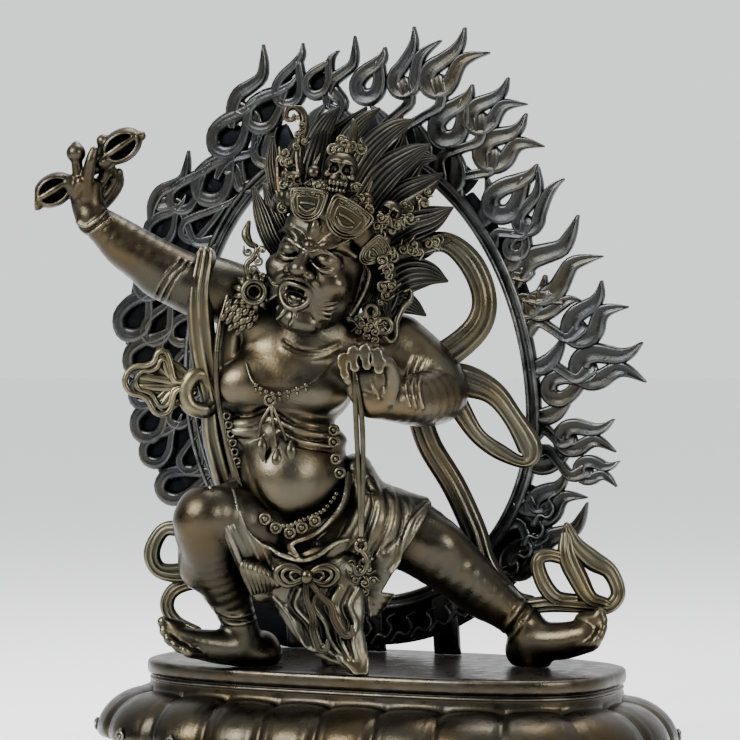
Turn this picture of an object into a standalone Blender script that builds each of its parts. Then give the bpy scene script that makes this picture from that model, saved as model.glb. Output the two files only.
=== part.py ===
"""A striding wrathful Vajrapani in cast bronze, before a flame aureole, on a lotus base.

Three castings: lotus_base, figure and flame_aureole. The figure and the flames are free forms. Their
points are laid out as a viewer before its left front sees them: a column and a row on a sighting grid of
fixed pitch, and a depth in form units, which are millimetres, behind the plane of the figure's feet.
Their widths and radii are form units too. Everything else is in metres, with +Z up and the origin in
the middle of the underside.
"""

import math

import bmesh
import bpy
from mathutils import Matrix, Vector

# Lotus base
BASE_HEIGHT = 0.049
PLATFORM_LENGTH = 0.236
PLATFORM_DEPTH = 0.118
OVAL_POWER = 3.0
PETAL_COUNT = 22
PETAL_REACH = 0.025
PETAL_VALLEY = 0.16
PETAL_TIP_HEIGHT = 0.0145
STEPS_PER_PETAL = 4
BAND_HEIGHT = 0.0072
NECK_HEIGHT = 0.0066
FOOT_HEIGHT = 0.009
FOOT_REACH = 0.013

# What rests on the platform stays this far above it
SEAT_GAP = 0.0003

# The viewer's sighting grid, and the unit of depths, widths and radii on it
GRID_PITCH = 0.0004755
FORM_UNIT = 0.001
MIDDLE_COLUMN = 370
PLATFORM_ROW = 666.5
EYE_TURN = math.radians(24)
EYE_DISTANCE = 1.3
EYE_RISE = 0.141
SIGHT_X = 0.0026
SIGHT_Y = -0.0213

# Flame aureole
RING_X = -0.0247
RING_MIDDLE_HEIGHT = 0.175
RING_LOWER = 0.098
RING_UPPER = 0.122
RING_HALF_WIDTH = 0.089
RING_BAND = 0.0075
RING_FOOT_Y = 0.044
RING_LEAN = 0.1456
AUREOLE_THICKNESS = 0.006
WEB_THICKNESS = 0.0026
LUG_HALF_WIDTH = 0.007

# Facets of the free forms
FIGURE_VOXEL = 0.0012
FIGURE_FACETS = 4720
AUREOLE_VOXEL = 0.001
AUREOLE_FACETS = 3010
THINNING_ATTEMPTS = 12
THINNING_STEP = 0.006

RIGHT = Vector((math.cos(EYE_TURN), math.sin(EYE_TURN), 0))
AHEAD = Vector((-math.sin(EYE_TURN), math.cos(EYE_TURN), 0))
UP = Vector((0, 0, 1))
GRID_FOOT = Vector((SIGHT_X, SIGHT_Y, BASE_HEIGHT))
EYE = GRID_FOOT + UP * EYE_RISE - AHEAD * EYE_DISTANCE
THROUGH = Vector((0, 1, 0))


def clear_scene():
    for thing in list(bpy.data.objects):
        bpy.data.objects.remove(thing)


def bronze(name, colour, roughness):
    material = bpy.data.materials.new(name)
    material.use_nodes = True
    shader = material.node_tree.nodes["Principled BSDF"]
    shader.inputs["Base Color"].default_value = (*colour, 1)
    shader.inputs["Metallic"].default_value = 1.0
    shader.inputs["Roughness"].default_value = roughness
    return material


def finish_object(name, bm, material):
    mesh = bpy.data.meshes.new(name)
    bmesh.ops.recalc_face_normals(bm, faces=bm.faces)
    bm.to_mesh(mesh)
    bm.free()
    mesh.materials.append(material)
    thing = bpy.data.objects.new(name, mesh)
    bpy.context.scene.collection.objects.link(thing)
    return thing


def seen(column, row, depth=0.0):
    """The point at a column and row of the sighting grid, depth units behind the plane of the feet."""
    aside = RIGHT * (column - MIDDLE_COLUMN) * GRID_PITCH
    on_plane = GRID_FOOT + aside + UP * (PLATFORM_ROW - row) * GRID_PITCH
    return EYE + (on_plane - EYE) * (1 + depth * FORM_UNIT / EYE_DISTANCE)


def smooth_line(rows, steps):
    """A Catmull-Rom line through rows of numbers, with that many steps between two rows."""
    rows = [Vector(r) for r in rows]
    ends = [rows[0] * 2 - rows[1]] + rows + [rows[-1] * 2 - rows[-2]]
    line = []
    for a, b, c, d in zip(ends, ends[1:], ends[2:], ends[3:]):
        for i in range(steps):
            t = i / steps
            bend = (a * 2 - b * 5 + c * 4 - d) * t**2 + (b * 3 - a - c * 3 + d) * t**3
            line.append((b * 2 + (c - a) * t + bend) / 2)
    return line + [rows[-1]]


def skin(bm, rings):
    """One closed skin over rings of equally many points, in order, with a face on each end."""
    loops = [[bm.verts.new(p) for p in ring] for ring in rings]
    for low, high in zip(loops, loops[1:]):
        for i, corner in enumerate(low):
            j = (i + 1) % len(low)
            bm.faces.new((corner, low[j], high[j], high[i]))
    bm.faces.new(loops[0][::-1])
    bm.faces.new(loops[-1])


def sweep(bm, line, facing, sides):
    """A rounded strand along points that each carry a half width and a half thickness, in metres.

    Its thickness lies along facing."""
    points = [Vector(p[:3]) for p in line]
    side = RIGHT
    rings = []
    for i, point in enumerate(points):
        along = (points[min(i + 1, len(points) - 1)] - points[max(i - 1, 0)]).normalized()
        across = along.cross(facing)
        if across.length > 0.25:
            side = across.normalized()
        side = (side - along * side.dot(along)).normalized()
        out = side.cross(along)
        half_width, half_thick = max(line[i][3], 0.4 * FORM_UNIT), max(line[i][4], 0.4 * FORM_UNIT)
        cap = along * min(half_width, half_thick) * 0.8
        stations = [(point, 1.0)]
        if i == 0:
            stations = [(point - cap, 0.55), (point, 1.0)]
        if i == len(points) - 1:
            stations = [(point, 1.0), (point + cap, 0.55)]
        for middle, share in stations:
            ring = []
            for k in range(sides):
                a = 2 * math.pi * (k + 0.5) / sides
                spoke = side * half_width * math.cos(a) + out * half_thick * math.sin(a)
                ring.append(middle + spoke * share)
            rings.append(ring)
    skin(bm, rings)


def strand(bm, rows, steps=3, sides=10, facing=AHEAD):
    """A flattened strand along rows of column, row, depth, half width and half thickness."""
    line = smooth_line([(*seen(c, r, d), w * FORM_UNIT, t * FORM_UNIT) for c, r, d, w, t in rows], steps)
    sweep(bm, line, facing, sides)


def tube(bm, rows, steps=3):
    """A round strand along rows of column, row, depth and radius."""
    strand(bm, [(c, r, d, radius, radius) for c, r, d, radius in rows], steps)


def blob(bm, column, row, depth, half_width, half_depth, half_height, roll=0.0):
    """An ellipsoid, rolled clockwise by that many degrees as the viewer sees it."""
    turn = Matrix((RIGHT, AHEAD, UP)).transposed().to_4x4() @ Matrix.Rotation(math.radians(roll), 4, "Y")
    size = Matrix.Diagonal((half_width * FORM_UNIT, half_depth * FORM_UNIT, half_height * FORM_UNIT, 1))
    place = Matrix.Translation(seen(column, row, depth)) @ turn @ size
    bmesh.ops.create_icosphere(bm, subdivisions=3, radius=1, matrix=place)


def evaluated(thing):
    return thing.evaluated_get(bpy.context.evaluated_depsgraph_get())


def one_casting(name, bm, material, voxel, facets):
    """Melts overlapping skins into one solid with about that many facets, cut flat above the platform."""
    rough = finish_object(name + "_rough", bm, material)
    remesh = rough.modifiers.new("melt", "REMESH")
    remesh.mode = "VOXEL"
    remesh.voxel_size = voxel
    thick = bmesh.new()
    thick.from_mesh(evaluated(rough).to_mesh())
    keep_largest_shell(thick)
    bpy.data.objects.remove(rough)
    whole = finish_object(name + "_whole", thick, material)
    thinner = whole.modifiers.new("fewer_facets", "DECIMATE")
    thinner.use_collapse_triangulate = True
    for attempt in range(THINNING_ATTEMPTS):
        thinner.ratio = facets * (1 - attempt * THINNING_STEP) / (2 * len(whole.data.polygons))
        light = bmesh.new()
        light.from_mesh(evaluated(whole).to_mesh())
        cut_seat(light)
        if all(edge.is_manifold for edge in light.edges) and all(vert.is_manifold for vert in light.verts):
            break
    bpy.data.objects.remove(whole)
    return finish_object(name, light, material)


def cut_seat(bm):
    """Cuts a shell flat just above the platform and closes the cut."""
    seat = Vector((0, 0, BASE_HEIGHT + SEAT_GAP))
    everything = bm.verts[:] + bm.edges[:] + bm.faces[:]
    cut = bmesh.ops.bisect_plane(bm, geom=everything, plane_co=seat, plane_no=UP, clear_inner=True)
    rim = [e for e in cut["geom_cut"] if isinstance(e, bmesh.types.BMEdge)]
    bmesh.ops.edgeloop_fill(bm, edges=rim)
    keep_largest_shell(bm)


def keep_largest_shell(bm):
    """Drops what no face joins to the largest shell, such as a bubble inside it."""
    unseen = set(bm.faces)
    shells = []
    while unseen:
        shell = {unseen.pop()}
        edge_of = list(shell)
        while edge_of:
            face = edge_of.pop()
            for edge in face.edges:
                for neighbour in edge.link_faces:
                    if neighbour in unseen:
                        unseen.remove(neighbour)
                        shell.add(neighbour)
                        edge_of.append(neighbour)
        shells.append(shell)
    shells.sort(key=len)
    strays = [face for shell in shells[:-1] for face in shell]
    bmesh.ops.delete(bm, geom=strays, context="FACES")


# The lotus base

def oval(reach, count, swell=None):
    """Points spread evenly along the platform's outline and moved outwards by reach. swell scales the
    reach by the share of the way round."""
    fine = 720
    outline = []
    for i in range(fine):
        c, s = math.cos(2 * math.pi * i / fine), math.sin(2 * math.pi * i / fine)
        bulge = (abs(c) ** OVAL_POWER + abs(s) ** OVAL_POWER) ** (-1 / OVAL_POWER)
        outline.append(Vector((c * bulge * PLATFORM_LENGTH / 2, s * bulge * PLATFORM_DEPTH / 2)))
    lengths = [0.0]
    for i in range(fine):
        lengths.append(lengths[-1] + (outline[(i + 1) % fine] - outline[i]).length)
    points = []
    step = 0
    for k in range(count):
        share = k / count
        while lengths[step + 1] < share * lengths[-1]:
            step += 1
        part = (share * lengths[-1] - lengths[step]) / (lengths[step + 1] - lengths[step])
        here, after = outline[step % fine], outline[(step + 1) % fine]
        out = Vector((after.y - here.y, here.x - after.x)).normalized()
        points.append(here.lerp(after, part) + out * reach * (swell(share) if swell else 1))
    return points


def petal_swell(share):
    across = (share * PETAL_COUNT) % 1
    return 1 - PETAL_VALLEY * (1 - abs(math.cos(math.pi * across)) ** 0.8)


def lotus_base(material):
    """The platform with its band and neck, the turned-down petals and the foot."""
    band = BASE_HEIGHT - BAND_HEIGHT
    neck = band - NECK_HEIGHT
    fall = neck - PETAL_TIP_HEIGHT
    profile = (
        (0.0, BASE_HEIGHT, None),
        (0.0, band, None),
        (-0.0015, band - 0.0006, None),
        (-0.0005, neck, None),
        (PETAL_REACH * 0.44, neck + 0.0004, petal_swell),
        (PETAL_REACH * 0.68, neck - fall * 0.25, petal_swell),
        (PETAL_REACH * 0.86, neck - fall * 0.54, petal_swell),
        (PETAL_REACH, PETAL_TIP_HEIGHT, petal_swell),
        (PETAL_REACH * 0.9, PETAL_TIP_HEIGHT - 0.003, petal_swell),
        (FOOT_REACH - 0.003, FOOT_HEIGHT + 0.0008, None),
        (FOOT_REACH, FOOT_HEIGHT, None),
        (FOOT_REACH, 0.0, None),
    )
    bm = bmesh.new()
    rings = []
    for reach, height, swell in profile:
        ring = oval(reach, PETAL_COUNT * STEPS_PER_PETAL, swell)
        rings.append([Vector((p.x, p.y, height)) for p in ring])
    skin(bm, rings)
    return finish_object("lotus_base", bm, material)


# The flame aureole

def leaning(x, height):
    """A point of the aureole's leaning middle plane."""
    return Vector((x, RING_FOOT_Y - RING_LEAN * (height - BASE_HEIGHT), height))


def ring_point(angle, reach=0.0):
    """The ring's inner edge at an angle from its lowest point, moved outwards by reach."""
    half_height = RING_LOWER if math.cos(angle) > 0 else RING_UPPER
    x = RING_X + (RING_HALF_WIDTH + reach) * math.sin(angle)
    return leaning(x, RING_MIDDLE_HEIGHT - (half_height + reach) * math.cos(angle))


def on_aureole(column, row):
    """The aureole's point behind a column and row of the sighting grid."""
    sight = seen(column, row) - EYE
    normal = Vector((0, 1, RING_LEAN))
    foot = leaning(0, BASE_HEIGHT)
    return EYE + sight * ((foot - EYE).dot(normal) / sight.dot(normal))


def stroke(bm, line, thickness, sides=8):
    """A stroke of a flame in the aureole's plane, along points with half widths."""
    rows = []
    for x, y, z, half in line:
        rows.append((x, y, z, half, thickness / 2 * min(1.0, 0.5 + half / (3 * FORM_UNIT))))
    sweep(bm, rows, THROUGH, sides)


# Flame shapes, along and across the flame's direction, with half widths, in flame sizes
FORK = (
    (3.1, 1.0, 0.06), (2.4, 0.55, 0.27), (1.7, 0.42, 0.4), (1.0, 0.6, 0.46), (0.35, 0.78, 0.5),
    (-0.3, 0.66, 0.54), (-0.7, 0.2, 0.58), (-0.62, -0.38, 0.58), (-0.15, -0.74, 0.54), (0.45, -0.76, 0.48),
    (1.05, -0.48, 0.43), (1.6, -0.36, 0.4), (2.2, -0.62, 0.28), (3.0, -1.3, 0.06),
)
DROP = (
    (3.0, 0.2, 0.06), (2.3, 0.0, 0.32), (1.5, 0.22, 0.45), (0.7, 0.64, 0.48), (-0.2, 0.74, 0.5),
    (-0.8, 0.22, 0.54), (-0.7, -0.42, 0.54), (-0.15, -0.78, 0.5), (0.6, -0.66, 0.45), (1.3, -0.28, 0.4),
    (1.9, 0.0, 0.3),
)
WAVE = (
    (-0.9, -0.1, 0.3), (-0.2, 0.26, 0.46), (0.6, 0.34, 0.48), (1.4, 0.0, 0.42), (2.1, -0.24, 0.36),
    (2.9, 0.02, 0.24), (3.7, 0.45, 0.05),
)

# Flames: shape, column and row of the middle, direction in degrees above the right, size in columns, how
# far its tips are drawn out, and 1 or -1 for the side that leads
FLAMES = (
    (DROP, 368, 86, 62, 14, 1.0, 1), (FORK, 404, 82, 66, 13, 1.35, 1), (FORK, 438, 79, 47, 15, 1.2, 1),
    (DROP, 449, 127, 57, 16, 1.0, 1), (FORK, 481, 117, 38, 14, 1.05, 1), (FORK, 494, 152, 31, 16, 0.95, 1),
    (DROP, 503, 202, 44, 16, 1.05, 1), (FORK, 528, 221, 62, 12, 1.45, -1), (DROP, 517, 247, 50, 11, 0.8, 1),
    (WAVE, 528, 271, 41, 20, 1.0, 1), (WAVE, 545, 291, 38, 18, 1.0, -1), (DROP, 541, 306, 12, 12, 1.1, -1),
    (FORK, 582, 327, 48, 16, 0.95, 1), (FORK, 592, 367, 8, 17, 1.0, 1), (DROP, 560, 388, 20, 14, 1.0, 1),
    (FORK, 572, 438, 6, 14, 1.0, 1), (FORK, 588, 470, -4, 11, 0.9, 1), (FORK, 543, 507, 38, 15, 0.9, 1),
    (WAVE, 548, 548, 42, 16, 1.0, 1), (DROP, 520, 560, 42, 15, 1.0, 1),
    (WAVE, 334, 92, 62, 16, 1.0, 1), (DROP, 318, 84, 62, 13, 1.0, -1), (DROP, 289, 91, 70, 15, 1.1, 1),
    (DROP, 263, 114, 45, 17, 1.1, 1), (WAVE, 240, 108, 62, 19, 0.95, 1), (DROP, 228, 138, 50, 18, 1.1, 1),
    (DROP, 213, 184, 55, 19, 1.05, 1), (DROP, 184, 197, 48, 15, 1.2, 1), (WAVE, 160, 204, 54, 17, 0.95, 1),
    (DROP, 161, 231, 50, 15, 1.0, 1), (DROP, 194, 229, 35, 13, 1.6, 1), (WAVE, 228, 168, 38, 14, 1.0, 1),
    (DROP, 134, 320, 58, 18, 1.0, 1), (DROP, 158, 329, 62, 15, 1.1, -1), (DROP, 184, 331, 45, 14, 1.0, 1),
    (DROP, 143, 358, 45, 17, 1.0, 1), (DROP, 188, 365, 60, 13, 1.0, 1), (DROP, 150, 423, 58, 17, 1.0, 1),
    (DROP, 181, 414, 45, 13, 1.0, 1), (DROP, 157, 450, 50, 15, 1.0, 1), (DROP, 192, 460, 70, 13, 1.4, -1),
    (DROP, 176, 485, 18, 17, 1.2, 1), (DROP, 150, 285, 68, 14, 1.0, 1), (DROP, 146, 392, 55, 15, 1.0, 1),
)
STEM_HALF_WIDTH = 0.0028

# Thin backings of the flames: first and last angle of the ring, reach and half width
WEBS = (
    (196, 300, 0.013, 0.008), (222, 292, 0.025, 0.008), (232, 283, 0.036, 0.007), (236, 278, 0.041, 0.005),
    (140, 180, 0.012, 0.007), (298, 428, 0.015, 0.010), (106, 140, 0.008, 0.004), (40, 66, 0.012, 0.008),
)


def flame_line(shape, column, row, heading, size, reach, lead):
    along = Vector((math.cos(math.radians(heading)), -math.sin(math.radians(heading))))
    across = Vector((-along.y, along.x)) * -lead
    rows = []
    for a, b, half in shape:
        drawn = a * reach if a > 1 else a
        place = Vector((column, row)) + (along * drawn + across * b) * size
        rows.append((*on_aureole(*place), half * size * GRID_PITCH))
    return smooth_line(rows, 2)


def flame_stem(column, row):
    """A short stem from the ring to a flame's middle."""
    middle = on_aureole(column, row)
    angles = [2 * math.pi * k / 120 for k in range(120)]
    nearest = min((ring_point(a, RING_BAND * 0.6) for a in angles), key=lambda p: (p - middle).length)
    return [(*nearest.lerp(middle, i / 3), STEM_HALF_WIDTH) for i in range(4)]


def flame_aureole(material):
    """The ring with its flames, standing on lugs at the back of the platform."""
    bm = bmesh.new()
    turn = [2 * math.pi * k / 72 for k in range(74)]
    stroke(bm, [(*ring_point(a, RING_BAND / 2), RING_BAND / 2) for a in turn], AUREOLE_THICKNESS)
    for flame in FLAMES:
        stroke(bm, flame_line(*flame), AUREOLE_THICKNESS)
        if flame[0] is not DROP:
            stroke(bm, flame_stem(*flame[1:3]), AUREOLE_THICKNESS)
    for first, last, reach, half_width in WEBS:
        angles = [math.radians(a) for a in range(first, last + 1, 4)]
        stroke(bm, [(*ring_point(a, reach), half_width) for a in angles], WEB_THICKNESS)
    for angle in (-0.45, 0.0, 0.45):
        top = ring_point(angle, RING_BAND / 2)
        foot = leaning(top.x, BASE_HEIGHT - 0.002)
        stroke(bm, [(*top, LUG_HALF_WIDTH), (*top.lerp(foot, 0.5), LUG_HALF_WIDTH), (*foot, LUG_HALF_WIDTH)],
               AUREOLE_THICKNESS)
    return one_casting("flame_aureole", bm, material, AUREOLE_VOXEL, AUREOLE_FACETS)


# The figure

def torso(bm):
    blob(bm, 290, 380, 0, 31, 21, 25, 6)
    blob(bm, 291, 472, -3, 27.5, 25, 29)
    tube(bm, ((236, 308, 2, 13), (280, 338, 2, 17), (330, 345, 3, 18), (390, 350, 5, 15)))
    tube(bm, ((318, 325, -2, 13), (308, 352, 0, 17)))
    blob(bm, 305, 548, 2, 33, 24, 20)
    for column, row, roll in ((258, 392, -12), (317, 394, 10)):
        blob(bm, column, row, -13, 15, 9, 9, roll)


def raised_arm(bm):
    tube(bm, ((242, 297, 2, 15), (214, 288, 0, 15), (188, 283, -2, 14.2), (152, 263, -5, 12.6),
              (118, 238, -8, 10), (92, 218, -9, 7.2)), 4)
    strand(bm, ((91, 220, -9, 7, 7), (87, 200, -10, 7.5, 5.5), (90, 176, -12, 4.8, 4.5),
                (94, 150, -14, 3.6, 3.6)))
    strand(bm, ((98, 208, -6, 6, 5), (108, 188, -3, 4.8, 4), (118, 166, -4, 3.6, 3.6)))
    tube(bm, ((50, 195, -11, 2.5), (88, 168, -10, 4), (135, 139, -8, 2.5)))
    blob(bm, 56, 192, -11, 10, 8, 7.6, -33)
    blob(bm, 120, 146, -8, 11, 8, 7.6, -33)
    blob(bm, 76, 153, -14, 4.8, 4.8, 4.8)
    blob(bm, 103, 140, -11, 3.6, 3.6, 3.6)
    tube(bm, ((134, 138, -8, 2), (144, 133, -8, 0.9)))


def threatening_arm(bm):
    tube(bm, ((398, 345, 6, 15), (424, 372, 4, 16), (438, 392, 0, 14.5), (420, 400, -14, 12.5),
              (394, 402, -27, 9.5), (368, 398, -33, 7.2)), 4)
    blob(bm, 366, 376, -34, 9.5, 6, 12)
    for column, row in ((348, 352), (358, 346), (369, 344), (381, 350)):
        tube(bm, ((column + 2, 372, -36, 3.4), (column, row, -38, 2.6), (column - 4, row - 6, -41, 2)))
    for side in (-1, 1):
        tube(bm, ((355, 372, -38, 1.6), (358 + side * 4, 420, -36, 1.3), (361 + side * 2, 480, -33, 1.3),
                  (361, 536, -31, 1.5)))
    blob(bm, 361, 545, -31, 3.2, 3.2, 5)
    blob(bm, 361, 565, -30, 5, 3, 7)


def head(bm):
    blob(bm, 320, 262, -12, 22, 24, 29, 12)
    blob(bm, 316, 292, -17, 17, 17, 19, 8)
    blob(bm, 305, 268, -33, 6, 6, 7)
    for column, row in ((278, 267), (331, 287)):
        blob(bm, column, row, -27, 7.5, 7, 7.5)
    for column, row in ((290, 251), (326, 262)):
        blob(bm, column, row, -30, 5.5, 4.5, 3.5, 14)
    strand(bm, ((276, 238, -27, 3.4, 3), (294, 243, -33, 3, 3), (306, 252, -34, 2.4, 3),
                (330, 248, -32, 3, 3), (352, 240, -24, 3.4, 3)))
    tube(bm, ((277, 300, -28, 2), (290, 310, -32, 2), (306, 310, -32, 2), (314, 294, -31, 2),
              (298, 283, -35, 2), (281, 288, -32, 2), (277, 300, -28, 2)))


def crown(bm):
    strand(bm, ((276, 205, -22, 5, 2.6), (300, 203, -30, 7.5, 2.6), (335, 218, -31, 8, 2.6),
                (362, 240, -24, 7, 2.6), (380, 262, -10, 6, 2.6)))
    skulls = ((340, 172, -22, 8.4), (388, 214, -14, 6.5), (294, 162, -20, 5.5), (314, 170, -23, 4.5))
    for column, row, depth, size in skulls:
        blob(bm, column, row, depth, size, size, size * 1.1, 12)
        blob(bm, column - 2, row + size * 1.7, depth - 3, size * 0.7, size * 0.6, size * 0.5, 12)
    tube(bm, ((344, 156, -21, 5), (351, 137, -20, 3.6), (355, 124, -19, 1.5)))
    tube(bm, ((294, 158, -20, 3), (290, 140, -19, 3), (292, 122, -18, 2.6), (298, 110, -17, 2)))
    strand(bm, ((372, 250, -14, 6, 5), (400, 246, -6, 5.5, 4), (430, 244, 0, 3.5, 3),
                (448, 242, 2, 1.5, 1.5)))
    strand(bm, ((388, 206, -10, 4, 4), (412, 200, -4, 4, 3), (434, 186, 0, 1.8, 1.6)))
    strand(bm, ((283, 205, -18, 5, 4), (275, 180, -14, 5, 4), (276, 150, -10, 2.5, 2.5)))


# Locks of hair: tip column and row, and half width at the root and at the middle
LOCKS = (
    (254, 189, 6, 6.5), (272, 140, 7, 6), (338, 108, 7, 6.5), (378, 109, 8, 7.5), (412, 120, 8, 8.5),
    (429, 146, 8, 8.5), (441, 175, 8, 8), (451, 209, 8, 8.5), (446, 281, 8, 7.5), (424, 315, 6, 4.5),
)


def hair(bm):
    """A bank of flame-like locks that spread from the back of the head."""
    blob(bm, 350, 232, 2, 28, 10, 32, 30)
    for column, row, root, middle in LOCKS:
        start = Vector((340, 240)).lerp(Vector((column, row)), 0.3)
        bend = Vector((340, 240)).lerp(Vector((column, row)), 0.72)
        strand(bm, ((*start, 2, root, 6), (*bend, 5, middle, 4), (column, row, 6, 1.2, 1.2)), 4)
    blob(bm, 385, 285, 0, 12, 8, 20, -20)


def legs(bm):
    tube(bm, ((292, 545, 0, 20), (250, 528, -12, 18.5), (208, 517, -24, 15.5), (212, 545, -18, 14),
              (222, 575, -10, 12.5), (236, 612, -2, 8.8), (240, 632, 0, 9.5)), 4)
    tube(bm, ((262, 648, 6, 8.5), (235, 648, -2, 8.5), (205, 645, -8, 7.5), (182, 638, -12, 5.2),
              (166, 626, -14, 3)), 4)
    blob(bm, 254, 656, 4, 12, 9, 7)
    tube(bm, ((340, 535, 0, 21), (378, 530, -2, 19), (410, 535, -4, 17.5), (448, 562, -6, 14.5),
              (484, 592, -4, 11.5), (519, 620, -1, 9)), 4)
    tube(bm, ((528, 628, -1, 9), (535, 652, -2, 8.5), (534, 664, -2, 7)), 3)
    strand(bm, ((530, 640, -2, 9, 8), (560, 640, -8, 9, 9), (590, 634, -14, 8, 8),
                (600, 630, -16, 6.5, 7)))
    for row, depth in ((620, -20), (627, -12), (633, -22)):
        blob(bm, 600, row, depth, 4, 4, 4)


def skirt(bm):
    strand(bm, ((248, 470, 2, 9, 14), (246, 500, 0, 12, 17), (252, 535, -4, 18, 20),
                (268, 570, -8, 15, 14), (272, 598, -8, 9, 6)))
    strand(bm, ((356, 470, 2, 8, 14), (366, 500, 0, 12, 18), (382, 530, -3, 18, 21),
                (400, 548, -4, 18, 20)), 4)
    strand(bm, ((268, 520, -20, 4, 3), (290, 548, -27, 4, 3), (320, 556, -29, 4, 3),
                (350, 540, -26, 4, 3), (372, 500, -18, 4, 3)))
    blob(bm, 308, 575, -18, 30, 14, 14)
    for side in (-1, 1):
        blob(bm, 309 + side * 15, 576, -29, 7, 4, 5, side * 8)
    strand(bm, ((318, 570, -22, 24, 8), (322, 600, -26, 21, 6), (334, 630, -30, 16, 4),
                (350, 652, -34, 9, 3.5), (364, 680, -37, 2.5, 2.5)), 4)
    strand(bm, ((385, 560, -16, 11, 9), (378, 590, -18, 8, 6), (372, 612, -20, 4, 3)))
    strand(bm, ((232, 470, 4, 4, 6), (262, 560, -14, 7, 7), (262, 595, -18, 5, 4)))
    strand(bm, ((300, 600, 0, 22, 10), (300, 640, 0, 16, 9), (298, 668, 0, 10, 8)))


# Scarves: flat strands as column, row, depth, half width and half thickness
SCARVES = (
    ((206, 258, -6, 5, 12), (200, 300, -12, 6, 5), (204, 350, -10, 6.5, 4), (214, 400, -4, 6.5, 5),
     (224, 440, 2, 6, 8), (240, 490, 2, 6, 10)),
    ((218, 400, -4, 5, 4), (206, 378, -8, 4, 3.4), (194, 376, -10, 4, 3.4), (186, 390, -10, 4, 3.4),
     (190, 406, -10, 4, 3.2), (206, 410, -8, 4, 3.2), (216, 400, -4, 4, 4)),
    ((192, 384, -8, 5, 3.4), (178, 372, -9, 6, 3), (164, 360, -9, 4.4, 2.6)),
    ((190, 386, -8, 4, 3), (162, 384, -8, 7.5, 2.6), (134, 379, -9, 5, 2.6)),
    ((192, 390, -8, 5, 3.4), (176, 396, -9, 6, 3), (161, 405, -9, 4.4, 2.6)),
    ((214, 536, -4, 4, 4), (186, 530, -2, 4, 3), (164, 530, 0, 3.5, 2.6), (152, 552, 0, 4, 2.6),
     (160, 570, 0, 4, 2.6), (186, 572, 0, 5, 3), (208, 560, -4, 5, 4)),
    ((224, 585, -4, 4, 4), (196, 582, 2, 3.6, 3), (174, 590, 4, 3.4, 3), (167, 606, 4, 3.4, 3),
     (176, 622, 2, 3.4, 3), (196, 634, -2, 4, 3.4)),
    ((374, 262, -2, 5, 4), (410, 250, 2, 5, 3), (444, 242, 4, 5, 2.6), (470, 262, 4, 6, 2.6),
     (484, 296, 3, 6, 2.6), (478, 326, 3, 6.5, 2.6), (450, 352, 2, 7, 2.6), (420, 366, 2, 8, 5)),
    ((430, 378, 2, 7, 5), (462, 380, 4, 8, 3), (492, 392, 4, 6, 2.8), (512, 416, 4, 5, 2.8),
     (530, 448, 4, 6, 2.8), (524, 462, 4, 3, 2.4), (500, 452, 5, 4, 2.6), (478, 436, 5, 4, 2.6),
     (462, 412, 5, 5, 2.6), (448, 386, 4, 6, 3)),
    ((418, 412, 2, 6, 5), (430, 446, 8, 6, 3.4), (454, 486, 10, 6, 3), (474, 530, 8, 6, 3.4),
     (486, 566, 6, 6, 5), (512, 598, 4, 5, 4), (532, 604, 2, 4, 3.4)),
    ((530, 606, 1, 4, 4), (552, 604, -2, 4, 3.4), (580, 606, -4, 3.4, 3), (606, 607, -5, 3.6, 3),
     (618, 594, -5, 3.6, 3), (610, 572, -4, 4, 3), (592, 560, -3, 5, 3), (576, 545, -2, 4, 3),
     (567, 526, -1, 2, 2)),
    ((566, 534, -1, 3, 2.6), (568, 556, -3, 5, 3), (578, 578, -4, 5, 3), (590, 598, -5, 4, 3),
     (606, 604, -6, 3, 3)),
    ((568, 560, -2, 3, 2.6), (548, 555, -3, 3.4, 2.8), (538, 562, -3, 3.4, 2.8), (543, 582, -3, 4, 3),
     (556, 598, -3, 4, 3), (576, 600, -3, 3, 3)),
)


def scarves(bm):
    for rows in SCARVES:
        strand(bm, rows, 4)


def ornaments(bm):
    turn = [2 * math.pi * k / 8 for k in range(9)]
    tube(bm, [(254 + 6 * math.cos(a), 292 + 6 * math.sin(a), -20, 2.2) for a in turn], 2)
    tube(bm, ((258, 240, -12, 3), (256, 262, -16, 3), (256, 284, -19, 3)))
    strand(bm, ((254, 296, -16, 5, 6), (244, 312, -14, 9, 7), (234, 326, -14, 4, 5)))
    blob(bm, 374, 318, -16, 11, 8, 11)
    tube(bm, ((248, 362, -16, 1.4), (262, 388, -21, 1.8), (286, 398, -23, 2), (318, 386, -21, 1.8),
              (337, 362, -16, 1.4)))
    tube(bm, ((252, 500, -20, 1.6), (270, 518, -25, 2), (290, 526, -27, 2.4), (318, 518, -25, 2),
              (338, 492, -20, 1.6)))


def figure(material):
    """The deity with vajra, noose, garments and scarves, cast as one."""
    bm = bmesh.new()
    for part in (torso, raised_arm, threatening_arm, head, crown, hair, legs, skirt, scarves, ornaments):
        part(bm)
    return one_casting("figure", bm, material, FIGURE_VOXEL, FIGURE_FACETS)


def main():
    clear_scene()
    lotus_base(bronze("lotus_bronze", (0.075, 0.045, 0.025), 0.38))
    flame_aureole(bronze("aureole_bronze", (0.045, 0.045, 0.042), 0.4))
    figure(bronze("figure_bronze", (0.10, 0.065, 0.035), 0.34))


main()
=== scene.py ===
"""The finished surfaces of a cast bronze Vajrapani: figure, flame aureole and lotus base.

Forms are laid out as the viewer sees them, by column and row of a sighting grid and a depth in
millimetres, and are modelled in the viewer's frame: across, away and up. All sizes are millimetres until a
piece is made.
"""
import math

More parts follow.
